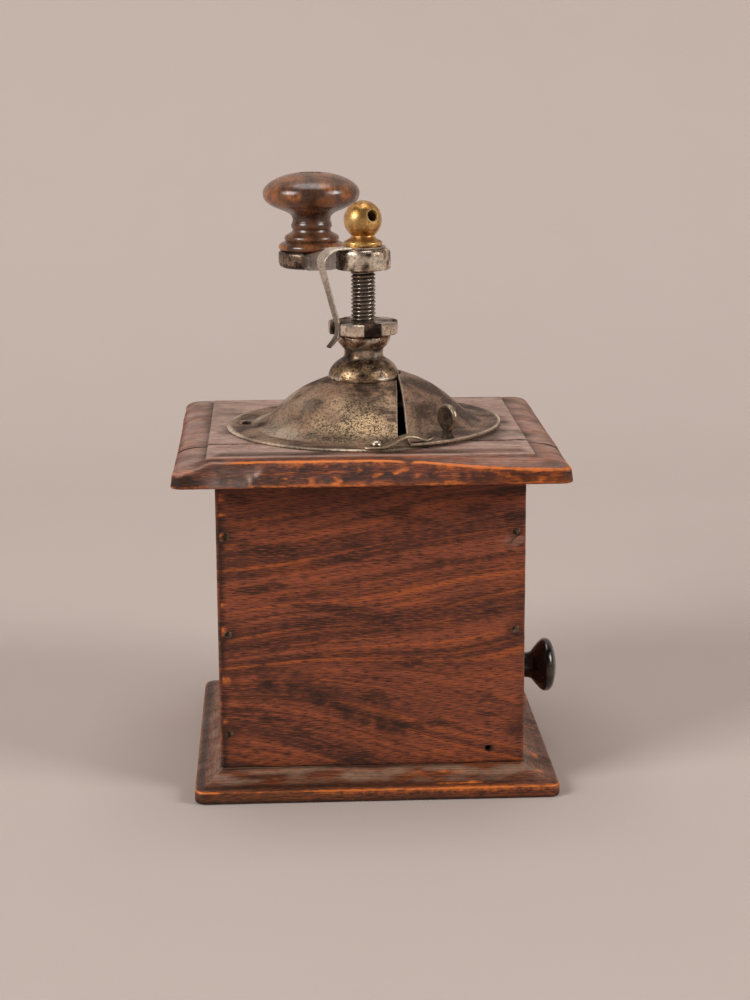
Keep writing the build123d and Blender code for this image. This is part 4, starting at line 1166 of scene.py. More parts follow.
@dataclass
class Case:
    """The box: base board, panels, rail, nails and the worn top board.

    Attributes:
        half_box: Half the box's width.
        base_half, base_shift: Half the base's width, and how far it sits towards the drawer.
        base_rim, base_thick: Heights of its arris and of its top.
        base_lip: Width and rise of the flat strip behind the arris.
        base_hollow: How far the slope sinks below a straight bevel.
        base_corner: Rounding of its corners.
        base_run, board_run: Half the even stretch of their sides, and how many pieces it has.
        board_half, board_flat: Half widths of the top board and of its flat field.
        board_bottom, board_top: Its levels.
        board_corner: Rounding of its corners.
        board_arris: Which point of its section is the arris.
        ovolo_line, slope_end, brow_line: Its moulded edge, and the end and brow of the worn slope.
        lost_nail: The hole that a lost nail left under the flange.
        bean_hole: Radius of the hole under the hopper.
        split_y: Where the board has split along its grain.
        split_reach: How far from the axis the split starts to show.
        empty_hole, chip: Places of a lost nail's hole and of a chip on the front, from the left and up.
        nail_rows: Heights of the corner nails.
        nail_x: Their distance from the middle.
        nail_r: Radius of their heads.
        rub_rows: Height and extent of the rubbed places on the front's left arris.
        flame: Dark line of the figure low on the front, from left to right.
        spot_xs: Place and extent of the dark spots along the top board's front.
    """

    half_box: float = 48.0
    base_half: float = 57.5
    base_shift: float = 1.3
    base_rim: float = 4.2
    base_thick: float = 8.6
    base_lip: Flat = (2.2, 0.75)
    base_hollow: float = 0.5
    base_corner: float = 3.2
    base_run: tuple[float, int] = (44.0, 70)
    board_run: tuple[float, int] = (48.0, 160)
    board_half: float = 61.0
    board_flat: float = 50.5
    board_bottom: float = 101.8
    board_top: float = 109.2
    board_corner: float = 3.0
    board_arris: int = 9
    ovolo_line: Line = ((58.9, 107.2), (56.2, 107.95), (53.4, 108.2))
    slope_end: Flat = (55.2, 108.2)
    brow_line: Line = ((54.7, 108.65), (54.3, 108.88), (53.6, 109.05))
    lost_nail: Flat = (-38.55, 2.02)
    bean_hole: float = 26.0
    split_y: float = -28.6
    split_reach: float = 32.0
    empty_hole: Flat = (36.6, 13.6)
    chip: Flat = (45.6, 81.4)
    nail_rows: tuple[float, ...] = (20.0, 52.5, 84.0)
    nail_x: float = 45.0
    nail_r: float = 1.3
    rub_rows: Line = (
        (96.3, 1.6), (91.0, 0.8), (84.0, 1.4), (62.0, 1.2), (53.4, 2.2), (37.8, 2.4), (24.0, 1.0),
    )
    flame: Line = ((-36.0, 36.0), (-17.0, 30.8), (-2.8, 21.9), (10.5, 19.2))
    spot_xs: Line = (
        (-5.7, 2.2), (6.4, 2.0), (17.7, 1.6), (27.2, 1.2), (30.3, 1.0), (34.6, 1.3), (41.2, 1.2),
    )

    def base_board(self) -> Thing:
        """Base with a hollow slope and mitred corners.

        Returns:
            The piece.
        """
        half, rim = self.base_half, self.base_rim
        lip = (half - self.base_lip[0], rim + self.base_lip[1])
        profile = soften([(40, 0, 0), (half, 0, 1.3), (half, rim, 1.5), (*lip, 0)], 6)[1:]
        arris = len(profile) - 5
        steps = 9
        for step in range(1, steps + 1):
            share = step / steps
            sink = self.base_hollow * math.sin(math.pi * share)
            height = between(lip[1], self.base_thick, share) - sink
            profile.append((between(lip[0], self.half_box, share), height))
        draft = Draft()
        rows = []
        for level, (reach, height) in enumerate(profile):
            shift = self.base_shift * ease(self.half_box, half, reach)
            corner = max(0.4, self.base_corner - (half - reach) * 0.3)
            near = swell(level, arris, 1.5)
            row = []
            for x, y in square_ring(reach, corner, *self.base_run):
                place = (x + shift, y, height)
                nick = 0.2 * ripple(place, 7.0) + 0.1 * ripple(place, 2.2)
                drawn = 1 - 0.004 * near * abs(nick)
                lifted = max(0.0, height + nick * 0.5 * ease(1.5, 4.0, height))
                touch = self.base_touch(level - arris, len(profile) - arris, place, abs(abs(x) - abs(y)))
                row.append(draft.dot((place[0] * drawn, place[1] * drawn, lifted), touch))
            rows.append(row)
        draft.tube(rows)
        return draft.make("case_base")

    def base_touch(self, step: int, steps: int, spot: Spot, off_mitre: float) -> Touch:
        """Rubbed arris, dirty hollow and dusty slope of the base, a painted highlight on the front rim, and
        painted shade along the bottom edge and where the slope meets the panels.

        Args:
            step: Points of the section past its arris.
            steps: How many there are.
            spot: The point.
            off_mitre: Distance from the corner's diagonal.

        Returns:
            What is painted there.
        """
        x, y, z = spot
        lively = ease(-0.6, 0.4, ripple(spot, 18.0, 2) + 0.4 * ripple(spot, 3.0, 3))
        front = ease(-50, -54, y)
        bare = swell(step, 0, 1.2) * between(0.5, 1.0, lively) * between(0.6, 1.0, front)
        # Painted highlight on the upper part of the front rim, below the arris.
        front_rim_highlight = between(0.25, 0.6, ease(-45, 0, x)) * front * swell(step, -1.5, 2.5)
        bare = max(bare, front_rim_highlight * between(0.6, 1.0, lively))
        fleck = patch((x * 0.25, y, z * 1.5), 2.4, 4, 0.2, 0.5)
        bare = max(bare, ease(2, 4, step) * fleck * between(0.15, 0.8, ease(-20, 45, x)))
        hollow = swell(step, 4.0, 1.5) * between(0.35, 1.0, ease(30, -25, x + 14 * ripple(spot, 12.0, 5)))
        # Painted shade along the rim's bottom edge and where the slope meets the panels.
        foot = 0.75 * ease(2.6, 0.4, z) + 0.9 * ease(steps - 1.6, steps - 1, step)
        dust = 0.6 * ease(4, 7, step) * patch((x * 0.4, y, z * 2), 4.0, 6, -0.25, 0.4)
        pale = 0.8 * swell(step, steps - 2.6, 0.7) * patch((x * 0.3, y, 0), 4.0, 7, -0.2, 0.3)
        mitre = 0.9 * swell(off_mitre, 0, 0.45) * ease(2, 4, step)
        return Touch(worn=bare, scar=max(dust, pale, mitre), grime=min(hollow + foot, 1.0) * (1 - mitre))

    def panel_stain_and_shade(self, spot: Point) -> Touch:
        """Dirt round the nails and along the foot of a panel, and painted shade under the top board.

        Args:
            spot: Point on the panel.

        Returns:
            What is painted there.
        """
        x, y, z = spot
        foot, head = self.base_thick, self.board_bottom
        # Darker under the top board, which is painted shade, and towards the foot, which is dirt.
        dirt = 0.5 * ease(head - 10, head, z) + 0.35 * ease(foot + 5, foot, z)
        if abs(y) > self.half_box - 1:
            for row, side in product(self.nail_rows, (-1, 1)):
                dirt += 0.75 * swell(math.hypot(x - side * self.nail_x, z - row), 0, 3.0)
        dirt += 0.3 * ease(self.half_box - 4, self.half_box, abs(x)) * patch(spot, 18.0, 9, -0.2, 0.5)
        if y < 0:
            for (x0, z0), (x1, z1) in zip(self.flame, self.flame[1:]):
                if x0 <= x < x1:
                    off = z - between(z0, z1, (x - x0) / (x1 - x0)) + 1.2 * ripple(spot, 9.0, 71)
                    dark = 0.95 * (swell(off, 0.6, 2.4) + 0.5 * swell(off, 5.5, 2.8))
                    dirt += dark * patch(spot, 4.0, 72, -0.6, 0.1)
        left = ease(-self.half_box + 0.6, -self.half_box + 1.3, x)
        rubs = max(swell(z, row, tall) for row, tall in self.rub_rows)
        bare = 0.75 * left * rubs * swell(x, -self.half_box + 1.0, 3.5) * (y < 0)
        strip = 0.7 * swell(x, -self.half_box + 1.2, 0.5) * (1 - rubs) * (y < 0)
        chip = 0.4 * swell(math.hypot(x - 43.4, (z - 81.2) * 1.2), 0, 2.0) * (y < 0)
        return Touch(worn=bare, scar=chip, grime=min(dirt + strip, 1.0))

    def nails(self) -> Thing:
        """Corner nails of the front and back with slightly domed heads.

        Returns:
            The piece.
        """
        draft = Draft()
        r = self.nail_r
        head = [(0, 0.16, 0), (0.9, 0.14, 0.3), (r, -0.02, 0.25), (r, -0.6, 0.1)]
        profile = soften([*head, (0.7, -0.6, 0), (0.7, -5, 0.5), (0, -6, 0)])
        for face, side, row in product((-1, 1), (-1, 1), self.nail_rows):
            if side > 0 and row == self.nail_rows[0]:
                continue
            lean = spin(5 * ripple((side, row, face), 3.3), "X")
            place = Matrix.Translation((side * self.nail_x, face * self.half_box, row))
            turn(draft, profile, place @ spin(-QUARTER_TURN * face, "X") @ lean, 28, wobble=0.18)
        return draft.make("corner_nail_heads")

    def board_profiles(self) -> tuple[list[Flat], list[Flat]]:
        """Sections of the top board: as moulded, and worn to a slope.

        Returns:
            Distance from the middle and height along each, with the same number of points.
        """
        half, low, top, flat = self.board_half, self.board_bottom, self.board_top, self.board_flat
        foot = [(half - 0.7, low), (half - 0.2, low + 0.2)]
        moulded = [*foot, *[(half, low + 0.7 + 0.5 * step) for step in range(7)], (half - 0.2, low + 4.2)]
        end, end_z = self.slope_end
        shares = [step / 6 for step in range(7)]
        worn = [*foot, *[(between(half - 0.15, end, s), between(low + 0.6, end_z, s)) for s in shares]]
        brow, *round_off = self.brow_line
        worn.append(brow)
        moulded += through([(half - 0.7, low + 4.6), *self.ovolo_line, (flat + 0.15, 108.25)], 2)
        moulded += [(flat, 108.5), (flat - 0.05, 108.95), (flat - 0.45, top), (flat - 1.2, top)]
        worn += through([*round_off, (52.6, top), (51.4, top), (50.6, top)], 2)
        worn += [(50.3, top), (50.0, top), (flat - 0.8, top), (flat - 1.2, top)]
        return moulded, worn

    def lip(self, z: float) -> float:
        """Where the torn place ends on the right at a height."""
        return -36.6 + 0.75 * (z - 102.5) - 1.6 * swell(z, 104.2, 1.0) + 0.4 * ripple((0, 0, z), 1.5, 15)

    def torn(self, x: float, z: float) -> float:
        """How far the front's left end is torn away, from 0 to 1."""
        return ease(-54.0, -46.0, x + 1.5 * ripple((0, 0, z), 2.0, 16)) * ease(0.4, -2.0, x - self.lip(z))

    def board_ring(self, level: int, moulded: Flat, worn: Flat) -> list[tuple[Spot, float, float]]:
        """One ring of the top board.

        Args:
            level: Which point of the section.
            moulded, worn: The two sections at this point.

        Returns:
            Each point of the ring, how far it is worn to a slope, and how far it is torn.
        """
        rings = []
        for half in (moulded[0], worn[0]):
            corner = max(0.3, self.board_corner - (self.board_half - half) * 0.25)
            rings.append(square_ring(half, corner, *self.board_run))
        arris = self.board_arris
        rim = ease(1.5, 4.0, level) * ease(arris + 7.5, arris + 2.5, level)
        points = []
        for (ax, ay), (bx, by) in zip(*rings):
            front = ay < 0 and abs(ax) <= abs(ay) + 1e-6
            share = 0.10 + 0.08 * ripple((ax, ay, 0), 21.0, 4)
            if front:
                share = max(share * ease(48, 60, abs(ax)), ease(-60, -49, ax) * ease(58, -4, ax))
            height = between(moulded[1], worn[1], share)
            x, y = between(ax, bx, share), between(ay, by, share)
            torn = front * self.torn(ax, height) * ease(1.0, 2.5, level) * ease(arris, arris - 4, level)
            nick = 0.22 * ripple((x, y, height), 6.0, 5) + 0.12 * ripple((x, y, height), 2.0, 6)
            flaky = 0.7 * ripple((x, y, height), 3.0, 8) + 0.6 * ripple((x * 0.4, y, height * 1.6), 1.6, 7)
            scoop = torn * (1.6 + 1.0 * flaky)
            dent = 0.45 * front * swell(x, -14.1, 1.8) * swell(height, 105.0, 1.3)
            pull = nick * rim * 0.8 + scoop + dent
            if abs(ay) >= abs(ax):
                y -= math.copysign(pull, y)
            else:
                x -= math.copysign(pull, x)
            height = min(height + nick * 0.6 * rim, self.board_top + 0.08)
            points.append(((x, y, height), share if front else 0.0, torn))
        return points

    def top_board(self) -> Thing:
        """Top board with its ovolo, worn away along the front and split along the grain.

        Returns:
            The piece.
        """
        draft = Draft()
        rows = []
        for level, (moulded, worn) in enumerate(zip(*self.board_profiles())):
            ring = self.board_ring(level, moulded, worn)
            rows.append([draft.dot(spot, self.board_touch(level, spot, *wear)) for spot, *wear in ring])
        edge = [Vector(draft.spots[index]) for index in rows[-1]]
        ways = [math.degrees(math.atan2(spot.y, spot.x)) for spot in edge]
        inner = [Vector((*polar(self.bean_hole, way), self.board_top)) for way in ways]
        for share in (0.1, 0.2, 0.32, 0.45, 0.6, 0.8, 1.0):
            spots = [tuple(outer.lerp(near, share)) for outer, near in zip(edge, inner)]
            rows.append(draft.row(spots, self.field_touch))
        rows.append(draft.row([(spot.x, spot.y, self.board_bottom) for spot in inner]))
        draft.skin(rows, loop=True, closed=True)
        piece = draft.make("case_top_board", Crease.RIM)
        for side in (-1, 1):
            carve(piece, self.split(side), Crease.RIM, clean=True)
        # Hole left by a lost nail; its walls are painted dark, painted shade in the hole.
        hollow = [(0, -5.0), (1.0, -4.0), (1.6, 0.0), (1.6, 1.0), (0, 1.0)]
        place = Matrix.Translation((*self.lost_nail, self.board_top))
        tool = turned("lost_nail_tool", hollow, place=place, segments=20, touch=ALL_HOLE_SHADE, wobble=0.15)
        carve(piece, tool, Crease.RIM)
        return piece

    def field_touch(self, spot: Point) -> Touch:
        """Weathered grey wood of the flat field, dirty round the hopper's flange.

        Args:
            spot: Point on the field.

        Returns:
            What is painted there.
        """
        x, y, _ = spot
        near = swell(math.hypot(x, y), 45.5, 2.5) * patch(spot, 7.0, 16, -0.3, 0.3)
        stain = 0.45 * patch((x * 0.4, y, 0), 7.0, 17, 0.1, 0.5)
        brow = ease(-40, -47, y)
        stain += brow * patch((x * 0.3, y, 0), 5.0, 28, -0.6, 0.1)
        grey = between(0.75, 0.95, patch(spot, 10.0, 18, -0.4, 0.4)) * between(1.0, 0.3, brow)
        return Touch(scar=grey, grime=min(0.5 * near + stain, 1.0))

    def board_touch(self, level: int, spot: Spot, share: float, torn: float) -> Touch:
        """Wear, dirt and weathering of the top board's rim, with a painted highlight on the front's left
        arris and painted shade in the step at the edge of the field.

        Args:
            level: Which point of the section.
            spot: The point.
            share: How far the front is worn to a slope.
            torn: How far the wood is torn away.

        Returns:
            What is painted there.
        """
        x, y, z = spot
        step = level - self.board_arris
        front = y < -50
        patchy = ease(-0.5, 0.25, ripple(spot, 15.0, 11) + 0.45 * ripple(spot, 3.0, 12))
        lively = 0.5 + 0.5 * ripple(spot, 5.0, 13)
        arris = swell(step, 0.3, 1.4) * (between(0.75, 1.0, lively) if front else 0.42 * patchy)
        arris *= 1 - 0.6 * swell(x, 11.0, 2.2) * front
        arris = max(arris, front * 0.62 * swell(step, -1.2, 2.0) * lively * ease(-34, -28, x))
        # Painted highlight along the left end of the front arris, in the pale broken-wood colour.
        pale = front * 0.6 * swell(step, 0.3, 1.2) * ease(-38, -46, x)
        face = front * ease(-9, -6, step) * ease(0, -2, step)
        glowing = face * 0.55 * patch((x, y, z * 2), 4.0, 14, -0.1, 0.5) * ease(-38, -30, x)
        foot = (0.75 if front else 0.4) * swell(level, 1.6, 0.8) * patchy
        dust = ease(8, 11, step)
        if front:
            dust = 0.4 * share * ease(5, 12, step) + 0.6 * (1 - share) * ease(9, 11, step)
        dull = between(0.55, 1.0, patch(spot, 8.0, 19, -0.3, 0.4)) * between(0.95, 0.75, ease(20, 45, x))
        dust = max(dust, dull * (1 - share) * ease(0.5, 3, step))
        marks = max(swell(x, middle, wide) for middle, wide in self.spot_xs) * swell(z, 104.6, 1.3)
        smears = 0.75 * patch(spot, 3.0, 24, -0.1, 0.35)
        dirt = face * max(0.95 * marks, smears, 0.7 * ease(-34, -44, x))
        dirt = max(dirt, front * share * 0.65 * swell(step, 5, 3.5) * patch(spot, 6.0, 27, -0.4, 0.2))
        right = ease(25, 50, x)
        # Painted shade in the step at the edge of the flat field, with dirt on the ovolo towards the right.
        step_shade_and_dirt = 0.6 * swell(step, 9.0, 1.2) * (1 - share)
        step_shade_and_dirt += (0.3 + 0.3 * right) * (1 - share) * ease(1, 3, step) * patch(spot, 11.0, 25, -0.1, 0.4)
        lip = face * swell(x, self.lip(z) - 0.4, 0.8) * ease(-8, -5, step) * ease(-1.5, -4.0, step)
        flakes = torn * patch((x * 0.5, y, z), 1.8, 26, 0.3, -0.2)
        return Touch(
            worn=min(max(arris, glowing, foot) * (1 - torn) * (1 - pale), 1.0),
            scar=min(max(0.85 * dust, torn * 0.35, 0.9 * lip, pale), 1.0),
            grime=min(max(dirt * (1 - 0.6 * torn), step_shade_and_dirt, 0.75 * flakes) * (1 - lip) * (1 - pale), 1.0),
        )

    def split(self, side: int) -> Thing:
        """Thin wandering wedge that cuts the split into one side of the board.

        Args:
            side: -1 for the left side, 1 for the drawer side.

        Returns:
            The cutting tool.
        """
        draft = Draft()
        rows = []
        steps, levels = 40, 48
        shares = [level / levels for level in range(levels + 1)]
        top = self.board_top + 2
        for step in range(steps + 1):
            x = side * between(self.split_reach, self.board_half + 1, step / steps)
            away = abs(x)
            y = self.split_y + 0.35 * ripple((x, 0, 0), 9.0, 20) - 2.0 * ease(46, 61, x)
            wide = between(0.8, 1.6, ease(38, 56, away)) + 0.16 * ripple((x, 0, 0), 4.0, 21)
            sunk = ease(self.board_flat - 1, self.board_half + 1, away)
            floor = between(self.board_top - 1.2, self.board_bottom + 2.2, sunk)
            skin = between(108.4, 106.0, ease(53, 61, away)) if away > self.board_flat else self.board_top
            flare = wide / 2 * (top - floor) / (skin - floor)
            section = [(flare * share, share) for share in shares]
            section += [(-flare * share, share) for share in shares[:0:-1]]
            ring = [(x, y + aside, between(floor, top, share)) for aside, share in section]
            # The wedge's faces are painted dark, which puts painted shade in the crack.
            rows.append(draft.row(ring, ALL_HOLE_SHADE))
        draft.tube(rows)
        return draft.make("split_tool")

    def front_panel(self) -> Thing:
        """Front panel with an empty nail hole near the foot and a chip beside a nail.

        Returns:
            The piece.
        """
        wood = {"arris": 0.9, "pitch": 1.6, "wear": 0.45, "layer": 1.0}
        piece = Slab.of("front_panel", stain=self.panel_stain_and_shade, **wood).make("case_front_panel")
        # The empty nail hole is painted dark inside, painted shade in it.
        for name, (x, z), r, deep, squash, paint in (
            ("hole_tool", self.empty_hole, 0.95, 3.0, 1.0, HOLE_SHADE),
            ("chip_tool", self.chip, 2.2, 0.5, 0.55, Touch(scar=0.3, grime=0.3)),
        ):
            place = Matrix.Translation((x, -self.half_box, z)) @ spin(QUARTER_TURN, "X")
            place = place @ spin(30, "Z") @ Matrix.Diagonal((1, squash, 1, 1))
            hollow = [(0, -deep), (r * 0.6, -deep * 0.8), (r, 0.0), (r * 1.1, 1.0), (0, 1.0)]
            tool = turned(name, hollow, place=place, segments=20, touch=evenly(paint), wobble=0.2)
            carve(piece, tool, Crease.COARSE)
        return piece

    def build(self, bench: Bench) -> None:
        """Make and fit the case's pieces.

        Args:
            bench: Where they are fitted.
        """
        bench.fit(self.base_board(), Body.BOX, Slot.STAINED_WOOD, BASE_WOOD, "base_board")
        bench.fit(self.front_panel(), Body.BOX, Slot.STAINED_WOOD, CASE_WOOD, "front_panel")
        for node, layer, finish in (
            ("back_panel", 2.0, CASE_WOOD),
            ("left_panel", 3.0, SIDE_WOOD),
            ("drawer_rail", 4.0, SIDE_WOOD),
        ):
            panel = Slab.of(node, pitch=2.2, wear=0.5, layer=layer, stain=self.panel_stain_and_shade)
            bench.fit(panel.make(f"case_{node}"), Body.BOX, Slot.STAINED_WOOD, finish, node)
        bench.fit(self.top_board(), Body.BOX, Slot.WORN_BOARD, BOARD_WOOD, "top_board")
        bench.fit(self.nails(), Body.BOX, Slot.NAIL_IRON, NAIL_IRON, "corner_nails")
        bench.keep(NAIL_IRON, "base_nails")


@dataclass
class Hopper:
    """The fixed dome with its flange, clip and nails.

    Attributes:
        sheet: Thickness of the sheet.
        board_top: Level that the flange lies on.
        radius, centre: Sphere of the dome and the height of its middle.
        crown_r: Where the flat crown under the bell ends.
        crown: Its level.
        spigot_r: Hole in the crown for the collar's spigot.
        foot_r: Where the dome starts to curve out into the flange.
        flange_r, door_side_r: Outer radius of the flange, and under the door.
        edge, edge_deg: Distance and facing of the dome's straight edge beside the door.
        hole_r, hole_deg, hole_circle: The empty nail hole.
        clip_wide, clip_thick, clip_top: The clip's widths, its thickness and its level at the nail.
        clip_line: Plan place and height along the clip's middle.
    """

    sheet: float = 0.8
    board_top: float = 109.2
    radius: float = 40.74
    centre: float = 86.16
    crown_r: float = 12.0
    crown: float = 125.1
    spigot_r: float = 6.05
    foot_r: float = 29.5
    flange_r: float = 45.1
    door_side_r: float = 42.6
    edge: float = 10.65
    edge_deg: float = -2.7
    hole_r: float = 2.0
    hole_deg: float = 177.0
    hole_circle: float = 38.6
    clip_wide: Flat = (4.6, 2.4)
    clip_thick: float = 0.7
    clip_top: float = 110.75
    clip_line: tuple[Spot, ...] = (
        (-1.6, -42.9, 110.4), (0.2, -43.0, 110.4), (1.9, -43.0, 110.42), (4.2, -42.8, 110.5),
        (6.6, -42.5, 111.2), (9.0, -42.0, 112.6), (11.4, -41.4, 113.4), (13.6, -40.7, 113.1),
        (15.8, -39.9, 112.2), (17.8, -39.0, 111.7), (19.6, -38.0, 112.4),
    )

    def wall_profile(self) -> list[Flat]:
        """Outer section of the dome from the crown's edge out to the flange.

        Returns:
            Radius and height along it.
        """
        crown, end = self.crown, self.crown_r
        flat = [(self.edge - 0.05, crown), (end - 0.6, crown), (end - 0.1, crown - 0.02)]
        reach = (end + 0.3, self.foot_r)
        level = self.board_top + self.sheet
        return flat + dome_section(self.radius, self.centre, reach, level, (3.2, 0.04))

    def dent(self, spot: Point) -> float:
        """How far the beaten sheet stands off a true dome."""
        crease = -0.3 * swell(math.hypot(*spot[:2]), 15.5, 2.4) * ease(4, -8, spot[1]) * ease(8, 2, spot[0])
        beaten = 0.22 * ripple(spot, 13.0, 30) + 0.08 * ripple(spot, 4.0, 31) + crease
        return beaten * ease(self.board_top + self.sheet, self.board_top + 3.5, spot[2])

    def touch(self, spot: Point) -> Touch:
        """Tan crust over the front of the dome, dirt at its foot, a rubbed cut edge and a painted sheen on
        its left flank.

        Args:
            spot: Point on the dome.

        Returns:
            What is painted there.
        """
        x, y, z = spot
        front = ease(-10, -24, y) * ease(-26, -12, x) * ease(126, 119, z)
        front *= ease(-0.6, 0.2, ripple(spot, 9.0, 32) + 0.4 * ripple(spot, 2.5, 33))
        low = swell(z, 114.6, 3.6) * ease(-20, -8, x)
        facing = polar(1.0, self.edge_deg)
        edge = swell(x * facing[0] + y * facing[1], self.edge, 0.2)
        foot = 0.7 * swell(z, 110.9, 0.9) + 0.4 * patch(spot, 8.0, 37, 0.0, 0.45) * ease(116, 112, z)
        # Painted sheen: lighter on the dome's left flank.
        sheen = 0.4 * ease(-12, -24, x) * patch(spot, 10.0, 38, -0.5, 0.4) * (1 - front)
        crust = min(front * between(0.3, 0.85, low), 1.0)
        return Touch(worn=max(edge * 0.6, sheen), scar=crust, grime=min(foot, 1.0))

    def span(self, radius: float) -> Flat:
        """Angles that the fixed dome covers at a radius."""
        open_half = math.degrees(math.acos(min(1.0, self.edge / radius)))
        return (self.edge_deg + open_half, self.edge_deg + FULL_TURN - open_half)

    def flange(self) -> Thing:
        """Flat ring under the dome with the empty nail hole in it.

        Returns:
            The piece.
        """
        low, top = self.board_top + 0.02, self.board_top + self.sheet
        upper = ((12.0, top - 0.1), (7.0, top), (2.0, top), (0.35, top), (0.0, top - 0.3))
        section = (*upper, (0.1, low), (12.0, low))
        segments = 240
        draft = Draft()
        rows = []
        for inward, height in section:
            row = []
            for index in range(segments):
                degrees = FULL_TURN * index / segments
                away = abs((degrees + HALF_TURN) % FULL_TURN - HALF_TURN)
                rim = between(self.door_side_r, self.flange_r, ease(66, 78, away))
                rim += min(0.0, 0.25 * ripple((*polar(rim, degrees), 0), 9.0, 34)) - 0.1
                spot = (*polar(rim - inward, degrees), height)
                lip = swell(inward, 0.3, 0.9) * ease(0.1, 0.5, height - self.board_top)
                bare = lip * between(0.35, 1.0, patch(spot, 12.0, 35, -0.3, 0.4))
                dirt = 0.4 * patch(spot, 8.0, 36, -0.1, 0.5) * (1 - lip)
                row.append(draft.dot(spot, Touch(worn=bare, grime=dirt)))
            rows.append(row)
        draft.skin(rows, loop=True, closed=True)
        piece = draft.make("dome_flange", Crease.SHEET)
        x, y = polar(self.hole_circle, self.hole_deg)
        wide = self.hole_r
        hollow = [(0, -0.5), (wide, -0.5), (wide, 1.5), (0, 1.5)]
        place = Matrix.Translation((x, y, self.board_top))
        # The hole's walls are painted dark, painted shade in the hole.
        tool = turned("flange_hole_tool", hollow, place=place, segments=24, touch=ALL_HOLE_SHADE, wobble=0.2)
        carve(piece, tool, Crease.SHEET)

        def touch(spot: Point) -> Touch:
            """Dirty inside, rubbed on the lifted edge."""
            return Touch(worn=0.25, grime=0.95 if spot[2] < 0.25 else 0.5)

        burr_line = ((-0.1, -0.35), (-0.2, 0.2), (0.15, 0.3), (0.8, -0.15), (0.8, -0.35))
        lifted = [(wide + out, up) for out, up in burr_line]
        place = Matrix.Translation((x, y, top)) @ spin(12, "X") @ spin(-4, "Y")
        gather(piece, turned("hole_burr", lifted, Crease.SHEET, place, 32, True, touch, 0.25))
        return piece

    def dome(self) -> Thing:
        """Dome wall and crown, with the flange joined on.

        Returns:
            The piece.
        """
        draft = Draft()
        shell(draft, self.wall_profile(), self.sheet, self.span, 150, self.dent, self.touch)
        low, top = self.crown - self.sheet, self.crown
        ring = [(self.spigot_r, low), (self.spigot_r, top), (self.edge, top), (self.edge, low)]
        turn(draft, ring, segments=64, closed=True)
        piece = draft.make("hopper_fixed_dome", Crease.SHEET)
        gather(piece, self.flange())
        return piece

    def clip(self) -> Thing:
        """Wavy spring clip that holds the door's flange down.

        Returns:
            The piece.
        """
        draft = Draft()
        line = through(self.clip_line, 6)
        outward = [Vector((x, y, 0)).normalized() for x, y, _ in line]
        shares = [index / (len(line) - 1) for index in range(len(line))]
        taper = [between(*self.clip_wide, ease(0.55, 1.0, share)) for share in shares]
        rounded = [0.75 + 0.25 * ease(0, 0.08, share) for share in shares]
        sizes = [(wide * part, self.clip_thick) for wide, part in zip(taper, rounded)]

        def touch(spot: Point) -> Touch:
            """Rubbed outer edge and crest."""
            rim = ease(43.6, 44.8, math.hypot(spot[0], spot[1]))
            return Touch(worn=max(0.8 * rim, 0.35 * ease(112.8, 113.6, spot[2])))

        ribbon(draft, line, outward, sizes, 0.22, touch)
        return draft.make("hopper_door_clip", Crease.STRIP)

    def clip_nail(self) -> Thing:
        """Round-headed nail through the clip.

        Returns:
            The piece.
        """
        x, y = self.clip_line[2][:2]
        head = [(0, 1.75, 0), (1.1, 1.6, 0.5), (1.8, 0.75, 0.5), (1.75, 0.0, 0.2)]
        profile = soften([*head, (0.9, -0.05, 0), (0.9, -7.0, 0.4), (0, -7.6, 0)])

        def touch(spot: Point) -> Touch:
            """Rubbed head with dirt under its rim."""
            return Touch(worn=ease(0.3, 1.4, spot[2]), grime=0.6 * swell(spot[2], 0.0, 0.35))

        place = Matrix.Translation((x, y, self.clip_top))
        return turned("hopper_clip_nail", profile, Crease.STRIP, place, 40, touch=touch, wobble=0.12)

    def build(self, bench: Bench) -> None:
        """Make and fit the hopper's pieces.

        Args:
            bench: Where they are fitted.
        """
        bench.fit(self.dome(), Body.BOX, Slot.SHEET_STEEL, SHEET_STEEL, "hopper_dome")
        bench.fit(self.clip(), Body.BOX, Slot.SHEET_STEEL, CLIP_STEEL, "door_clip")
        bench.fit(self.clip_nail(), Body.BOX, Slot.NAIL_IRON, TURNED_STEEL, "clip_nail")
        bench.keep(NAIL_IRON, "hopper_nails", "keeper_nail")
        bench.keep(DOOR_STEEL, "door_keeper")


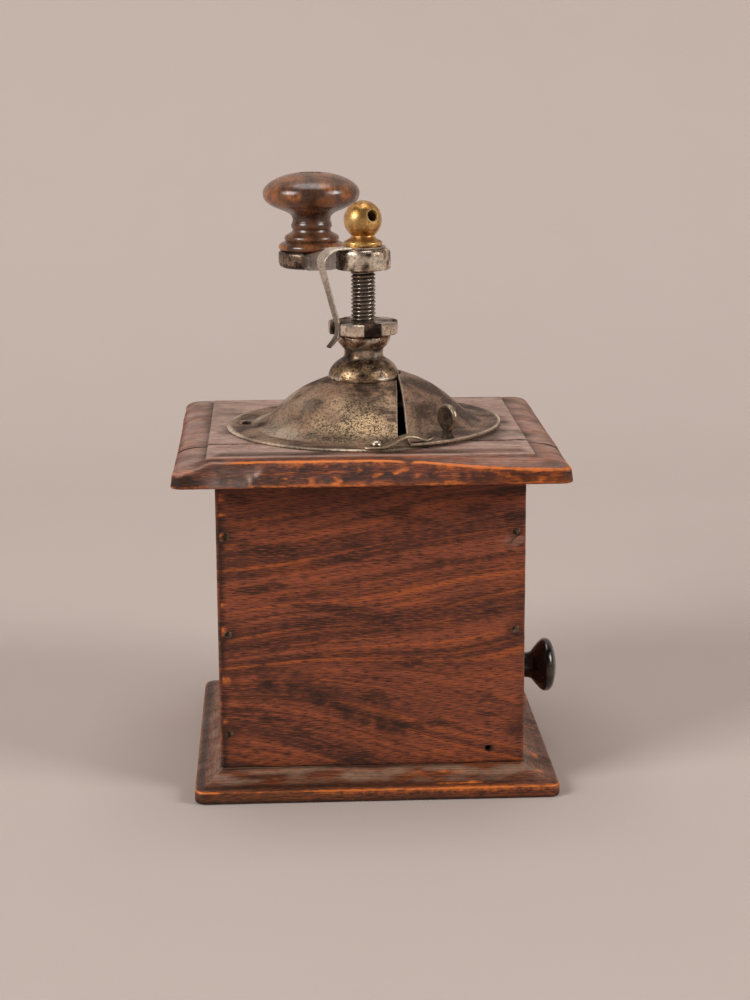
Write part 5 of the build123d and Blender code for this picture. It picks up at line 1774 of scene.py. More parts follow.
@dataclass
class DomeDoor:
    """The swinging part of the dome with its thumb lug.

    Attributes:
        sheet: Thickness of the sheet.
        radius, centre: Its sphere and the height of its middle.
        notch_r: Cut-out round the bell.
        foot_r: Where the dome starts to curve out into the flange.
        flange_r, flange_bottom: The flange.
        edge, facing: Distance of its straight edge from the axis, and where that faces at rest.
        lug_deg, lug_circle, lug_r, lug_thick, lug_rise: The thumb lug.
    """

    sheet: float = 0.8
    radius: float = 44.06
    centre: float = 84.44
    notch_r: float = 12.2
    foot_r: float = 31.4
    flange_r: float = 44.6
    flange_bottom: float = 110.4
    edge: float = 10.8
    facing: float = 2.3
    lug_deg: float = -53.5
    lug_circle: float = 41.5
    lug_r: float = 4.3
    lug_thick: float = 2.2
    lug_rise: float = 6.4

    def span(self, radius: float) -> Flat:
        """Angles that the door covers at a radius."""
        half = math.degrees(math.acos(self.edge / radius))
        return (self.facing - half, self.facing + half)

    def dent(self, spot: Point) -> float:
        """How far the sheet stands off a true dome, never inwards near the fixed one."""
        beaten = max(-0.1, 0.16 * ripple(spot, 14.0, 40) + 0.06 * ripple(spot, 4.0, 41))
        return beaten * ease(110.6, 112.5, spot[2])

    def touch(self, spot: Point) -> Touch:
        """Rubbed cut edge and rim, dirt where the dome meets the flange.

        Args:
            spot: Point on the door.

        Returns:
            What is painted there.
        """
        x, y, z = spot
        facing = polar(1.0, self.facing)
        cut = 0.7 * swell(x * facing[0] + y * facing[1], self.edge, 0.2)
        rim = ease(43.6, 44.4, math.hypot(x, y)) * ease(110.6, 111.0, z)
        foot = 0.45 * swell(z, 112.0, 1.4) * patch(spot, 6.0, 42, -0.4, 0.3)
        crust = 0.45 * ease(-14, -30, y) * patch(spot, 9.0, 43, 0.0, 0.45)
        rubbed = max(cut, rim * between(0.5, 1.0, patch(spot, 9.0, 44, -0.3, 0.3))) * 0.9
        return Touch(worn=rubbed, scar=crust, grime=foot)

    def sheet_piece(self) -> Thing:
        """The door itself.

        Returns:
            The piece.
        """
        top = self.flange_bottom + self.sheet
        line = dome_section(self.radius, self.centre, (self.notch_r, self.foot_r), top, (4.6, 0.0))
        end = line[-1][0]
        line += [(between(end, self.flange_r, share), top) for share in (0.4, 0.75, 0.93, 1.0)]
        draft = Draft()
        shell(draft, line, self.sheet, self.span, 110, self.dent, self.touch)
        return draft.make("door_sheet", Crease.SHEET)

    def lug(self) -> Thing:
        """Upright thumb disc on a short foot.

        Returns:
            The piece.
        """
        level = self.flange_bottom + self.sheet
        x, y = polar(self.lug_circle, self.lug_deg)
        across = Vector((*polar(1.0, self.lug_deg + QUARTER_TURN), 0))
        h = self.lug_thick / 2
        half = [(0, h * 0.92, 0), (2.0, h * 0.9, 0.8), (3.1, h, 0.6), (self.lug_r, h * 0.7, 0.7)]
        profile = soften([*half, *[(r, -z, soft) for r, z, soft in reversed(half)]])
        upright = across.to_track_quat("Z", "Y").to_matrix().to_4x4()
        place = Matrix.Translation((x, y, level + self.lug_rise)) @ upright

        def touch(spot: Point) -> Touch:
            """Rubbed rim and dirty faces."""
            rim = ease(3.5, 4.1, math.hypot(spot[0], spot[1]))
            return Touch(worn=rim * 0.55, grime=0.5 * (1 - rim) * patch(spot, 3.0, 45, -0.6, 0.2))

        piece = turned("door_thumb_lug", profile, Crease.STRIP, place, 56, touch=touch, wobble=0.12)
        waist = [(2.4, 0.02, 0.3), (1.6, 0.9, 0.6), (1.4, 2.4, 0.4), (1.5, 3.6, 0.3)]
        foot = soften([(0, 0.02, 0), *waist, (0, 4.2, 0)])
        place = Matrix.Translation((x, y, level - 0.02))
        # The stem is painted dark: painted shade under the disc, with dirt.
        sooty_and_shaded = evenly(Touch(grime=0.8))
        stem = turned("lug_stem", foot, place=place, segments=32, touch=sooty_and_shaded, wobble=0.15)
        carve(piece, stem, Crease.STRIP, Joining.FUSE)
        return piece

    def build(self, bench: Bench) -> None:
        """Make and fit the door's pieces."""
        bench.fit(self.sheet_piece(), Body.DOOR, Slot.SHEET_STEEL, DOOR_STEEL, "dome_door")
        bench.fit(self.lug(), Body.DOOR, Slot.SHEET_STEEL, CLIP_STEEL, "door_lug")


@dataclass
class Column:
    """What stands on the dome: collar, adjusting nut, threaded spindle, pawl and ball nut.

    Attributes:
        crown: Level of the collar's bell.
        bell_line, bead_line: The collar's bell and bead, radius and height above the crown.
        collar_top, nut_top, hub_top: Levels above it.
        spindle_r, spindle_low, spindle_high, spindle_end_r: The spindle and its thinner top end.
        thread_low, thread_high, pitch, thread_depth: Its thread.
        nut_r, notch_count, notch_half, notch_floor: The notched nut.
        leaf_deg: Where the pawl's leaf hangs.
        leaf_line: Radius, height and width along the leaf.
        leaf_thick, plate_r: The leaf's thickness, and the radius of its torn plate.
        ball_seat, ball_centre, ball_r, ball_neck_r: The ball nut.
        hole_r, hole_deg, hole_rise: Its cross hole, where that faces and how far it tilts up.
    """

    crown: float = 125.1
    bell_line: Line = ((11.6, 0.9), (11.2, 2.4), (10.1, 4.2), (8.5, 5.7), (6.9, 6.7), (6.45, 7.3))
    bead_line: Line = ((6.45, 9.8), (7.2, 10.4), (8.2, 11.6), (8.7, 12.9), (8.72, 13.7))
    collar_top: float = 139.7
    nut_top: float = 143.8
    hub_top: float = 167.3
    spindle_r: float = 4.0
    spindle_low: float = 58.3
    spindle_high: float = 172.2
    spindle_end_r: float = 2.7
    thread_low: float = 143.1
    thread_high: float = 161.2
    pitch: float = 1.25
    thread_depth: float = 0.62
    nut_r: float = 11.45
    notch_count: int = 5
    notch_half: float = 3.05
    notch_floor: float = 9.45
    leaf_deg: float = -148.0
    leaf_line: tuple[Spot, ...] = (
        (5.2, 167.65, 5.8), (8.6, 167.68, 5.8), (11.6, 167.6, 5.6), (14.2, 166.6, 5.3),
        (15.8, 164.7, 4.9), (16.1, 162.6, 4.3), (15.2, 159.4, 3.5), (13.3, 153.6, 2.9),
        (11.5, 147.6, 2.8), (10.4, 144.4, 2.8), (10.05, 142.0, 2.8), (10.5, 139.6, 2.7),
        (12.0, 137.8, 2.5), (13.7, 136.3, 2.2),
    )
    leaf_thick: float = 0.7
    plate_r: float = 7.3
    ball_seat: float = 168.0
    ball_centre: float = 176.4
    ball_r: float = 6.15
    ball_neck_r: float = 3.7
    hole_r: float = 1.65
    hole_deg: float = -58.0
    hole_rise: float = 17.0

    def collar(self) -> Thing:
        """Bell, neck and bead in one turned piece.

        Returns:
            The piece.
        """
        bore = self.spindle_r + 0.05
        low, top = self.crown, self.collar_top
        profile = [(bore, low - 2.4), (6.0, low - 2.4), (6.0, low)]
        profile += soften([(6.0, low, 0), (11.55, low, 0.25), (11.6, low + 0.7, 0.2), (11.6, low + 0.9, 0)])
        bell, bead = ([(r, low + z) for r, z in line] for line in (self.bell_line, self.bead_line))
        profile += [*through(bell, 4), (6.4, low + 8.2), (6.4, low + 9.4)]
        profile += [*through([*bead, (8.3, top - 0.15)], 4), (7.9, top), (bore, top)]

        def touch(spot: Point) -> Touch:
            """Rubbed bead and rim with painted highlights, dirt in the hollows.

            Args:
                spot: Point on the collar.

            Returns:
                What is painted there.
            """
            z = spot[2]
            hollow = 0.7 * swell(z, low + 10.0, 0.7) + 0.55 * swell(z, low + 7.1, 0.6)
            hollow += 0.45 * ease(top - 0.4, top, z)
            hollow += 0.15 * patch(spot, 5.0, 55, 0.1, 0.4)
            bright = patch(spot, 2.6, 50, -0.05, 0.25)
            # Rubbed bell foot, and painted highlights on the neck and the bead.
            rim = 0.9 * swell(z, low + 0.7, 0.6) + 0.8 * swell(z, low + 8.7, 0.7)
            rim += 1.1 * swell(z, low + 12.2, 1.6)
            crust = 0.8 * ease(low + 6.0, low + 4.0, z) * patch(spot, 4.0, 51, -0.3, 0.3)
            return Touch(worn=min(rim * bright, 1.0), scar=crust, grime=min(hollow, 1.0))

        shape = {"segments": 112, "closed": True, "touch": touch, "wobble": 0.06}
        return turned("column_collar", profile, Crease.TURNED, **shape)

    def spindle(self) -> Thing:
        """Spindle with a true helical thread.

        Returns:
            The piece.
        """
        draft = Draft()
        segments = 64
        bottom, top, seat = self.spindle_low, self.spindle_high, self.ball_seat
        low, high = self.thread_low, self.thread_high
        levels = [bottom, bottom + 0.6]
        levels += [between(bottom + 0.6, low, step / 12) for step in range(1, 12)]
        steps = round((high - low) / 0.125)
        levels += [between(low, high, step / steps) for step in range(steps + 1)]
        levels += [seat, seat + 0.01, top - 0.5, top]
        rows = [[draft.dot((0, 0, bottom))] * segments]
        for z in levels:
            row = []
            for index in range(segments):
                share = index / segments
                phase = (z / self.pitch - share) % 1.0
                valley = ease(0.1, 0.46, 0.5 - abs(phase - 0.5))
                valley = valley * ease(low, low + 0.8, z) * ease(high, high - 0.8, z)
                chamfer = 0.5 if z in (bottom, top) else 0.0
                stem = self.spindle_r if z <= seat else self.spindle_end_r
                radius = stem - chamfer - self.thread_depth * valley
                touch = Touch(worn=0.55 * (1 - valley), grime=0.9 * valley)
                row.append(draft.dot((*polar(radius, FULL_TURN * share), z), touch))
            rows.append(row)
        rows.append([draft.dot((0, 0, top))] * segments)
        draft.skin(rows, loop=True)
        return draft.make("column_spindle", Crease.COARSE)

    def nut_outline(self, inset: float) -> list[Flat]:
        """Outline of the notched nut.

        Args:
            inset: How far the teeth are set back.

        Returns:
            Its plan points.
        """
        radius = self.nut_r - inset
        lip = math.degrees(math.asin(self.notch_half / radius))
        step_deg = FULL_TURN / self.notch_count
        tooth = (0.02, 0.08, 0.2, 0.35, 0.5, 0.65, 0.8, 0.92, 0.98)
        points = []
        for index in range(self.notch_count):
            middle = self.leaf_deg + index * step_deg
            out, wide = Vector(polar(1.0, middle)), Vector(polar(1.0, middle + QUARTER_TURN))
            points.append(polar(radius, middle - lip))
            for share in (-1.0, -0.9, -0.4, 0.4, 0.9, 1.0):
                points.append(tuple(out * self.notch_floor + wide * (self.notch_half * share)))
            points.append(polar(radius, middle + lip))
            start, end = middle + lip, middle + step_deg - lip
            points += [polar(radius, between(start, end, share)) for share in tooth]
        return points

    def nut(self) -> Thing:
        """Notched adjusting nut with chamfered teeth.

        Returns:
            The piece.
        """
        draft = Draft()
        low, top, chamfer = self.collar_top + 0.1, self.nut_top, 0.4
        full, inset = self.nut_outline(0.0), self.nut_outline(chamfer)
        bore = [polar(self.spindle_r + 0.08, math.degrees(math.atan2(y, x))) for x, y in full]
        lower = ((bore, low), (inset, low), (full, low + chamfer))
        outlines = (*lower, (full, top - chamfer), (inset, top), (bore, top))

        def touch(spot: Point) -> Touch:
            """Rubbed teeth, and painted shade in the notches.

            Args:
                spot: Point on the nut.

            Returns:
                What is painted there.
            """
            reach = math.hypot(spot[0], spot[1])
            tooth = ease(10.4, 11.2, reach)
            # Painted shade on the notches' floors.
            dirt = 0.95 * (1 - tooth) * ease(8.8, 9.4, reach)
            return Touch(worn=tooth * between(0.45, 1.0, patch(spot, 3.0, 52, -0.3, 0.2)), grime=dirt)

        rows = [draft.row([(x, y, height) for x, y in outline], touch) for outline, height in outlines]
        draft.skin(rows, loop=True, closed=True)
        return draft.make("adjusting_notched_nut", Crease.NOTCHED)

    def pawl(self) -> Thing:
        """Leaf spring that drops into a notch, with its torn plate under the ball nut.

        Returns:
            The piece.
        """
        draft = Draft()
        line = through(self.leaf_line, 6)
        path = [(*polar(r, self.leaf_deg), z) for r, z, _ in line]
        wide = Vector((*polar(1.0, self.leaf_deg + QUARTER_TURN), 0))
        sizes = [(width, self.leaf_thick) for _, _, width in line]

        def touch(spot: Point) -> Touch:
            """Rubbed edges and a dirty clamp."""
            off = abs(Vector(spot).dot(wide))
            return Touch(worn=0.8 * ease(1.0, 1.5, off), grime=0.45 * patch(spot, 4.0, 56, 0.0, 0.4))

        ribbon(draft, path, [wide] * len(path), sizes, 0.2, touch)
        segments, thick = 72, 0.68
        turns = [FULL_TURN * index / segments for index in range(segments)]
        places = [(*polar(7.0, degrees), 0) for degrees in turns]
        torn = [self.plate_r + 0.5 * ripple(spot, 2.6, 53) + 0.25 * ripple(spot, 0.9, 54) for spot in places]
        rows = []
        for inward, height in ((0.2, 0.0), (0.0, 0.15), (0.0, 0.5), (0.2, thick)):
            ring = [(*polar(r - inward, way), self.hub_top + height) for r, way in zip(torn, turns)]
            rows.append(draft.row(ring, evenly(Touch(worn=0.4))))
        bore = self.spindle_r + 0.05
        for height in (thick, 0.0):
            rows.append(draft.row([(*polar(bore, way), self.hub_top + height) for way in turns]))
        draft.skin(rows, loop=True, closed=True)
        return draft.make("pawl_leaf", Crease.STRIP)

    def ball_nut(self) -> Thing:
        """Brass ball nut with a cross hole.

        Returns:
            The piece.
        """
        seat, middle, r = self.ball_seat, self.ball_centre, self.ball_r
        bore, neck = self.spindle_end_r + 0.02, self.ball_neck_r
        low = middle - math.sqrt(r**2 - neck**2)
        profile = [(0, self.spindle_high + 0.1), (bore, self.spindle_high + 0.1), (bore, seat)]
        foot = [(6.15, seat, 0.2), (6.3, seat + 1.3, 0.35), (5.5, seat + 1.85, 0.2), (5.2, seat + 1.95, 0)]
        profile += soften([(bore, seat, 0), *foot])
        profile += through([(5.0, seat + 2.05), (4.35, seat + 2.5), (3.85, seat + 3.05), (neck, low)], 4)
        start, steps = math.degrees(math.atan2(low - middle, neck)), 30
        ball = [polar(r, between(start, 89.0, step / steps)) for step in range(1, steps + 1)]
        profile += [*[(out, middle + up) for out, up in ball], (0, middle + r)]
        hole = Vector((*polar(1.0, self.hole_deg), math.tan(math.radians(self.hole_rise)))).normalized()

        def touch(spot: Point) -> Touch:
            """Tarnish in the hollows and under the crown, a rubbed belly.

            Args:
                spot: Point on the ball nut.

            Returns:
                What is painted there.
            """
            z = spot[2]
            dirt = 0.6 * swell(z, seat + 2.0, 0.5) + 0.5 * ease(middle + 4.0, middle + 6.2, z)
            dirt += 0.3 * patch(spot, 3.0, 57, 0.0, 0.4)
            near = 0.9 * swell((Vector(spot) - Vector((0, 0, middle)) - hole * r * 0.97).length, 2.0, 0.35)
            rubbed = near + 0.35 * swell(z, middle, 2.4) + 0.4 * swell(z, seat + 1.0, 0.4)
            return Touch(worn=min(rubbed, 1.0), grime=min(dirt, 1.0))

        piece = turned("column_ball_nut", profile, Crease.TURNED, segments=112, touch=touch, wobble=0.03)
        place = Matrix.Translation((0, 0, middle)) @ hole.to_track_quat("Z", "Y").to_matrix().to_4x4()
        flare, wide = r * 0.93, self.hole_r
        mouth = [(wide, flare - 0.6), (wide + 0.3, flare + 0.1), (wide + 0.8, 8), (0, 8)]
        hollow = [*[(reach, -along) for reach, along in reversed(mouth)], *mouth]

        def hole_touch(spot: Point) -> Touch:
            """Painted shade inside the hole and a rubbed mouth."""
            return HOLE_SHADE if Vector(spot).length < r - 0.25 else Touch(worn=0.8)

        tool = turned("cross_hole_tool", hollow, place=place, segments=36, touch=hole_touch)
        carve(piece, tool, Crease.TURNED)
        return piece

    def build(self, bench: Bench) -> None:
        """Make and fit the column's pieces.

        Args:
            bench: Where they are fitted.
        """
        bench.fit(self.collar(), Body.BOX, Slot.TURNED_STEEL, TURNED_STEEL, "bearing_collar")
        bench.fit(self.spindle(), Body.CRANK, Slot.TURNED_STEEL, SPINDLE_STEEL, "spindle")
        bench.fit(self.nut(), Body.NUT, Slot.TURNED_STEEL, TURNED_STEEL, "adjusting_nut")
        bench.fit(self.pawl(), Body.CRANK, Slot.SPRING_STEEL, SPRING_STEEL, "pawl_spring")
        bench.fit(self.ball_nut(), Body.CRANK, Slot.OLD_BRASS, OLD_BRASS, "ball_nut")
        bench.keep(NAIL_IRON, "collar_washer")


@dataclass
class Crank:
    """The arm with its hub and eye, and the turned knob on its pin.

    Attributes:
        reach, degrees: Distance and direction of the knob's axis.
        hub_r, hub_low, hub_top: The hub on the spindle.
        eye_r, eye_low, eye_top: The eye under the knob.
        arm_line: Distance along the arm, height and width.
        arm_thick: The bar's thickness.
        hub_bore, pin_bore: Radii of the holes for the spindle and the knob's pin.
        knob_low, knob_top, knob_bore: The knob's levels and the radius of its bore.
        recess_r, recess_deep: The recess in its top.
        knob_strokes: Runs of the knob's profile with creases between them, radius and height above its foot.
    """

    reach: float = 105.0
    degrees: float = 98.0
    hub_r: float = 8.9
    hub_low: float = 160.6
    hub_top: float = 167.3
    eye_r: float = 12.4
    eye_low: float = 149.55
    eye_top: float = 155.75
    arm_line: tuple[Spot, ...] = (
        (6.2, 163.95, 12.8), (10.0, 163.9, 12.7), (14.0, 163.6, 12.5), (30.0, 161.35, 12.1),
        (52.0, 158.3, 11.4), (74.0, 155.2, 10.8), (89.0, 153.1, 10.4), (94.0, 152.7, 10.3),
        (98.0, 152.65, 10.2),
    )
    arm_thick: float = 6.1
    hub_bore: float = 4.03
    pin_bore: float = 3.03
    knob_low: float = 156.05
    knob_top: float = 184.45
    knob_bore: float = 3.05
    recess_r: float = 4.62
    recess_deep: float = 1.6
    knob_strokes: tuple[Line, ...] = (
        ((11.7, 0.0), (12.25, 0.5), (12.4, 1.2), (12.1, 2.0), (11.3, 2.6)),
        ((10.4, 3.0), (9.75, 3.3)),
        ((9.8, 3.4), (10.2, 4.3), (9.9, 5.2), (9.2, 5.75)),
        ((8.3, 6.1), (7.4, 6.7), (7.05, 7.6)),
        ((7.1, 7.7), (7.5, 8.6), (7.5, 9.6), (7.1, 10.5)),
        (
            (7.0, 10.7), (7.15, 12.0), (8.0, 13.2), (9.7, 14.2), (12.2, 15.2), (15.2, 16.6), (17.2, 18.4),
            (17.9, 20.6), (17.5, 22.6), (16.2, 24.2), (13.6, 25.9), (10.2, 27.25), (6.6, 28.1), (4.9, 28.32),
        ),
    )

    def arm(self) -> Thing:
        """Forged arm with a double bend, joined to its hub and eye.

        Returns:
            The piece.
        """
        out = Vector((*polar(1.0, self.degrees), 0))
        wide = Vector((*polar(1.0, self.degrees + QUARTER_TURN), 0))

        def touch(spot: Point) -> Touch:
            """Rubbed shoulders and grease near the hub's foot, dirt with painted shade over the arm, painted
            shade down the hub's left side, and a painted highlight with the rubbing on the rest of the hub.

            Args:
                spot: Point on the arm.

            Returns:
                What is painted there.
            """
            x, _, z = spot
            along = Vector(spot).dot(out)
            bright = patch(spot, 2.4, 60, -0.25, 0.2)
            bar = ease(8, 14, along) * ease(97, 92, along)
            # Dirt with painted shade over the arm and eye, heavier in patches.
            sooty_and_shaded = 0.15 * ease(7.0, 14.0, along)
            sooty_and_shaded += 0.6 * ease(self.hub_low + 0.6, self.hub_low, z) * ease(14, 10, along)
            sooty_and_shaded += (
                0.4 * (1 - bar) * patch(spot, 3.0, 62, 0.0, 0.35)
                + 0.25 * bar * patch(spot, 18.0, 66, -0.2, 0.5)
            )
            # Painted shade down the left side of the hub, next to the arm.
            sooty_and_shaded += 0.85 * ease(-4.0, -7.5, x) * ease(12, 8, along)
            sooty_and_shaded *= between(1.0, 0.4, ease(94, 99, along))
            # The rest of the hub is rubbed bright, with a painted highlight.
            clean = ease(9, 5, along) * ease(-7.5, -4.0, x)
            crust = 0.5 * (1 - bar) * patch(spot, 4.0, 61, 0.0, 0.4)
            return Touch(worn=0.85 * bright * clean, scar=crust, grime=min(sooty_and_shaded, 1.0))

        low, top, r = self.hub_low, self.hub_top, self.hub_r
        rounded = [(r - 0.1, low, 0.5), (r, low + 3.5, 1.5), (r - 0.1, top, 1.5)]
        hub = soften([(self.hub_bore, low, 0), *rounded, (self.hub_bore, top, 0)], 6)
        shape = {"segments": 88, "closed": True}
        piece = turned("crank_forged_arm", hub, Crease.FORGED, touch=touch, wobble=0.16, **shape)
        bar = Draft()
        line = through(self.arm_line, 5)
        path = [tuple(out * s + Vector((0, 0, z))) for s, z, _ in line]
        ribbon(bar, path, [wide] * len(path), [(w, self.arm_thick) for _, _, w in line], 1.5, touch)
        carve(piece, bar.make("arm_bar", Crease.FORGED), Crease.FORGED, Joining.FUSE)
        centre = Matrix.Translation(out * self.reach)
        low, top, r = self.eye_low, self.eye_top, self.eye_r
        ring = soften([(self.pin_bore, low, 0), (r, low, 2.6), (r, top, 1.4), (self.pin_bore, top, 0)], 6)

        def placed(spot: Point) -> Touch:
            """Paint of the eye, by the point in its own frame."""
            return touch(centre @ Vector(spot))

        eye = turned("arm_eye", ring, Crease.FORGED, centre, touch=placed, wobble=0.12, **shape)
        carve(piece, eye, Crease.FORGED, Joining.FUSE)
        return piece

    def knob(self) -> Thing:
        """Turned wooden knob.

        Returns:
            The piece.
        """
        bore, recess = self.knob_bore, self.recess_r
        profile = [(bore, 0.0)]
        for stroke in self.knob_strokes:
            profile += through(stroke, 4)
        top = self.knob_top - self.knob_low
        floor = top - self.recess_deep
        profile += [(recess + 0.1, top - 0.08), (recess, top - 0.25), (recess, floor), (bore, floor)]

        def touch(spot: Point) -> Touch:
            """Rubbed belly of the cap and beads, dirt in the grooves and the neck, and painted light on the
            wall of the top recess that takes away its shade.

            Args:
                spot: Point on the knob, in its own frame.

            Returns:
                What is painted there.
            """
            z = spot[2]
            patchy = ease(0.0, 0.4, ripple(spot, 7.5, 63) + 0.3 * ripple(spot, 2.6, 64))
            belly = 0.9 * swell(z, 19.6, 2.6) * patchy
            bead = 0.5 * swell(z, 1.4, 0.9) * patch(spot, 5.0, 65, 0.0, 0.5)
            dirt = 0.7 * swell(z, 3.2, 0.45) + 0.7 * swell(z, 13.0, 2.2)
            dirt = dirt + 0.45 * swell(z, 7.3, 0.8) + 0.45 * swell(z, 9.5, 2.0)
            # Painted light on the recess's wall in the bare wood colour, taking away its shade.
            hollow = 0.5 * ease(5.2, 4.8, math.hypot(spot[0], spot[1])) * ease(20, 24, z)
            return Touch(worn=max(belly, bead, hollow), grime=min(dirt, 1.0))

        place = Matrix.Translation((*polar(self.reach, self.degrees), self.knob_low))
        return turned("crank_turned_knob", profile, Crease.TURNED, place, 128, True, touch, 0.1)

    def build(self, bench: Bench) -> None:
        """Make and fit the crank's pieces.

        Args:
            bench: Where they are fitted.
        """
        bench.fit(self.arm(), Body.CRANK, Slot.FORGED_IRON, FORGED_IRON, "crank_arm")
        bench.fit(self.knob(), Body.KNOB, Slot.TURNED_KNOB, KNOB_LACQUER, "crank_knob")
        bench.keep(NAIL_IRON, "knob_pin")


@dataclass
class Drawer:
    """The drawer's boards and its pull.

    Attributes:
        boards: Solid, piece name, rounding and whether it is stained, for each board.
        face: Distance of the drawer's face from the axis.
        pull_z: Height of the pull.
        screw_r, screw_deep: The hole in the pull for its screw.
        pull_strokes: Runs of the pull's profile, radius and distance from the face.
    """

    boards: tuple[tuple[str, str, float, bool], ...] = (
        ("drawer_front", "drawer_face_board", 0.9, True),
        ("drawer_side_near", "drawer_near_board", 0.5, False),
        ("drawer_side_far", "drawer_far_board", 0.5, False),
        ("drawer_back", "drawer_back_board", 0.5, False),
        ("drawer_bottom", "drawer_floor_board", 0.35, False),
    )
    face: float = 48.8
    pull_z: float = 25.95
    screw_r: float = 1.65
    screw_deep: float = 8.0
    pull_strokes: tuple[Line, ...] = (
        ((5.3, 0.0), (5.45, 0.5), (5.2, 1.15)),
        ((4.8, 1.5), (4.3, 3.0), (4.2, 4.6), (4.35, 6.0), (4.7, 7.2)),
        ((5.0, 7.4), (6.4, 8.5), (8.0, 9.9), (8.85, 11.0), (9.0, 11.9), (8.7, 13.0), (8.1, 13.7)),
        ((7.9, 13.85), (6.8, 14.35), (4.8, 14.95), (2.4, 15.35), (0.0, 15.5)),
    )

    def pull(self) -> Thing:
        """Turned pull.

        Returns:
            The piece.
        """
        profile = [(0.0, self.screw_deep), (self.screw_r, self.screw_deep), (self.screw_r, 0.0)]
        for stroke in self.pull_strokes:
            profile += through(stroke, 5)
        place = Matrix.Translation((self.face, 0, self.pull_z)) @ spin(QUARTER_TURN, "Y")

        def touch(spot: Point) -> Touch:
            """Rubbed rim."""
            return Touch(worn=0.5 * swell(spot[2], 12.6, 0.8) * patch(spot, 4.0, 70, 0.0, 0.4))

        return turned("drawer_turned_pull", profile, Crease.TURNED, place, touch=touch, wobble=0.08)

    def build(self, bench: Bench) -> None:
        """Make and fit the drawer's pieces.

        Args:
            bench: Where they are fitted.
        """
        for index, (node, name, arris, stained) in enumerate(self.boards):
            wear, finish, slot = 0.4, RAW_WOOD, Slot.RAW_WOOD
            if stained:
                wear, finish, slot = 0.55, SIDE_WOOD, Slot.STAINED_WOOD
            board = Slab.of(node, arris=arris, layer=10.0 + index, wear=wear)
            bench.fit(board.make(name), Body.DRAWER, slot, finish, node)
        bench.fit(self.pull(), Body.DRAWER, Slot.BLACK_KNOB, PULL_LACQUER, "drawer_knob")
        bench.keep(NAIL_IRON, "drawer_nails", "drawer_knob_screw")


@dataclass
class Burrs:
    """The grinding parts inside the box, which keep their solids.

    Attributes:
        castings: Cast pieces.
        fixings: Their screws and pin.
    """

    castings: tuple[str, ...] = ("outer_burr", "inner_burr", "bridge")
    fixings: tuple[str, ...] = ("burr_screws", "burr_pin")

    def build(self, bench: Bench) -> None:
        """Dress the burrs."""
        bench.keep(CAST_BURR, *self.castings)
        bench.keep(NAIL_IRON, *self.fixings)


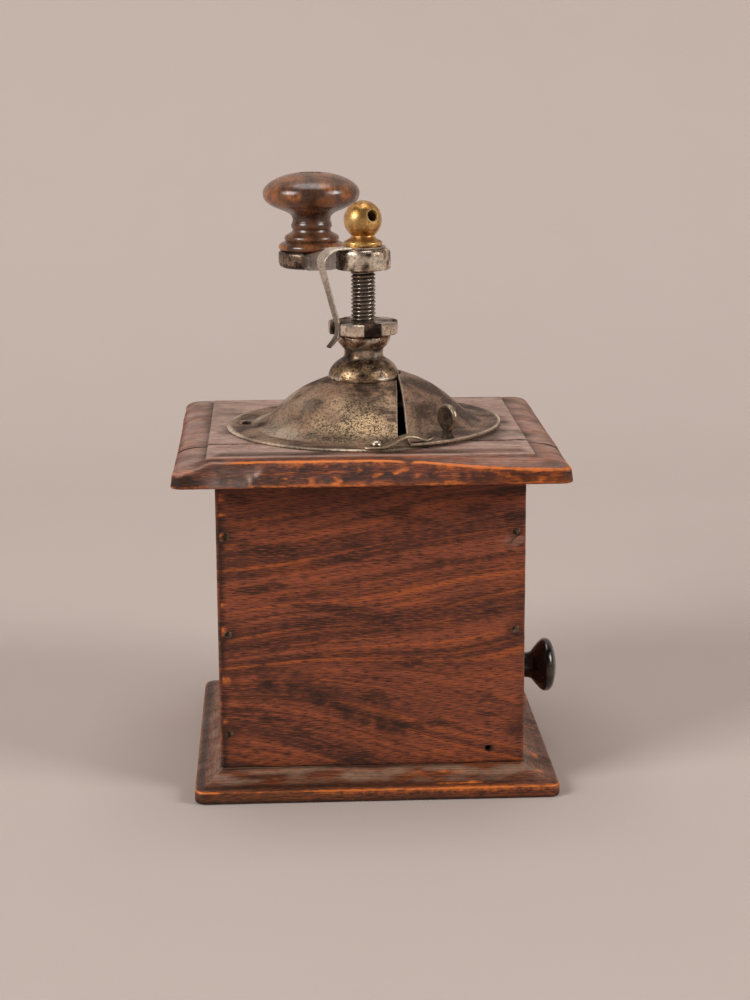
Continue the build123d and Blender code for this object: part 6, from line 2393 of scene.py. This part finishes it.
@dataclass
class Studio:
    """Pale floor and backdrop, soft lights and the camera.

    Attributes:
        paper, shadow: Colours of the floor and backdrop and of their faint mottling.
        back, bend, width, front, rise: The backdrop's distance, bend and extent, in metres.
        lamps: Name, place, size and power of each lamp, all aimed at the object.
        aim: What they are aimed at.
        sky: Colours of the light from all round, at the horizon and overhead.
        sky_strength, sky_top: Its strength, and the rise at which it is darkest.
        eye: The camera's place.
        yaw, pitch, roll: Its direction in degrees, right, down and clockwise.
        lens, sensor: Focal length and sensor height.
    """

    paper: Colour = ink(180, 166, 158)
    shadow: Colour = ink(170, 154, 144)
    back: float = 0.9
    bend: float = 0.5
    width: float = 7.0
    front: float = -4.5
    rise: float = 2.4
    lamps: tuple[tuple[str, Spot, float, float], ...] = (
        ("left softbox", (-1.9, -1.15, 1.35), 1.1, 50.0),
        ("right softbox", (2.0, -1.0, 1.3), 1.0, 38.0),
        ("top softbox", (0.0, 0.5, 2.3), 1.5, 26.0),
    )
    aim: Spot = (0.0, 0.0, 0.09)
    sky: tuple[Colour, Colour] = (ink(190, 178, 168), ink(70, 62, 56))
    sky_strength: float = 0.6
    sky_top: float = 0.6
    eye: Spot = (-28.473, -676.519, 238.337)
    yaw: float = 2.7
    pitch: float = 12.844
    roll: float = -0.325
    lens: float = 75.47
    sensor: float = 36.0

    def backdrop(self) -> None:
        """Floor that curves up into the backdrop."""
        start = self.back - self.bend
        turns = [math.radians(degrees) for degrees in range(6, 91, 6)]
        line = [(self.front, 0.0), (start, 0.0)]
        line += [(start + self.bend * math.sin(a), self.bend * (1 - math.cos(a))) for a in turns]
        line.append((self.back, self.rise))
        draft = Draft()
        half = self.width / 2
        rows = [draft.row([(side * half / MM, y / MM, z / MM) for side in (-1, 1)]) for y, z in line]
        draft.skin(rows, loop=False)
        piece = draft.make("floor_and_backdrop", Crease.BACKDROP)
        box = Paintbox("pale paper")
        soft = box.noise(box.place, (60.0, 60.0, 60.0), 2.0)
        colour = box.mix(box.window(soft, 0.3, 0.7, 0.0, 0.06), self.paper, self.shadow)
        tooth = box.noise(box.place, (0.8, 0.8, 0.8), 2.0)
        rough = box.window(tooth, 0.2, 0.8, 0.85, 0.95)
        piece.data.materials.append(box.finish(colour, rough, box.relief(tooth, 0.04)))

    def lights(self) -> None:
        """Softboxes and the light from all round."""
        for name, place, size, power in self.lamps:
            lamp = bpy.data.lights.new(name, "AREA")
            lamp.shape = "SQUARE"
            lamp.size = size
            lamp.energy = power
            stand = bpy.data.objects.new(name, lamp)
            stand.location = place
            stand.rotation_mode = "QUATERNION"
            stand.rotation_quaternion = (Vector(self.aim) - Vector(place)).to_track_quat("-Z", "Y")
            bpy.context.scene.collection.objects.link(stand)
        world = bpy.data.worlds.new("soft room")
        world.use_nodes = True
        tree = world.node_tree
        ground = tree.nodes["Background"]
        ground.inputs["Strength"].default_value = self.sky_strength
        way = tree.nodes.new("ShaderNodeTexCoord").outputs["Generated"]
        parts = tree.nodes.new("ShaderNodeSeparateXYZ")
        tree.links.new(way, parts.inputs[0])
        rise = tree.nodes.new("ShaderNodeValToRGB")
        rise.color_ramp.elements[0].color, rise.color_ramp.elements[1].color = self.sky
        rise.color_ramp.elements[1].position = self.sky_top
        tree.links.new(parts.outputs["Z"], rise.inputs[0])
        tree.links.new(rise.outputs[0], ground.inputs["Color"])
        bpy.context.scene.world = world

    def camera(self) -> None:
        """Camera at the photograph's angle."""
        lens = bpy.data.cameras.new("camera")
        lens.sensor_fit = "VERTICAL"
        lens.sensor_height = self.sensor
        lens.lens = self.lens
        lens.clip_start, lens.clip_end = 0.01, 20.0
        stand = bpy.data.objects.new("camera", lens)
        aimed = spin(-self.yaw, "Z") @ spin(QUARTER_TURN - self.pitch, "X") @ spin(self.roll, "Z")
        stand.matrix_world = Matrix.Translation(Vector(self.eye) * MM) @ aimed
        bpy.context.scene.collection.objects.link(stand)
        bpy.context.scene.camera = stand

    def build(self) -> None:
        """Set up the studio."""
        bpy.context.scene.view_settings.view_transform = "Standard"
        self.backdrop()
        self.lights()
        self.camera()


def main() -> None:
    """Build every sub-assembly in order and report what was made."""
    logging.basicConfig(level=logging.INFO, format="%(name)s: %(message)s")
    bench = Bench(frame["nodes"])
    for assembly in (Case(), Hopper(), DomeDoor(), Column(), Crank(), Drawer(), Burrs()):
        assembly.build(bench)
    Studio().build()


if __name__ == "__main__":
    main()
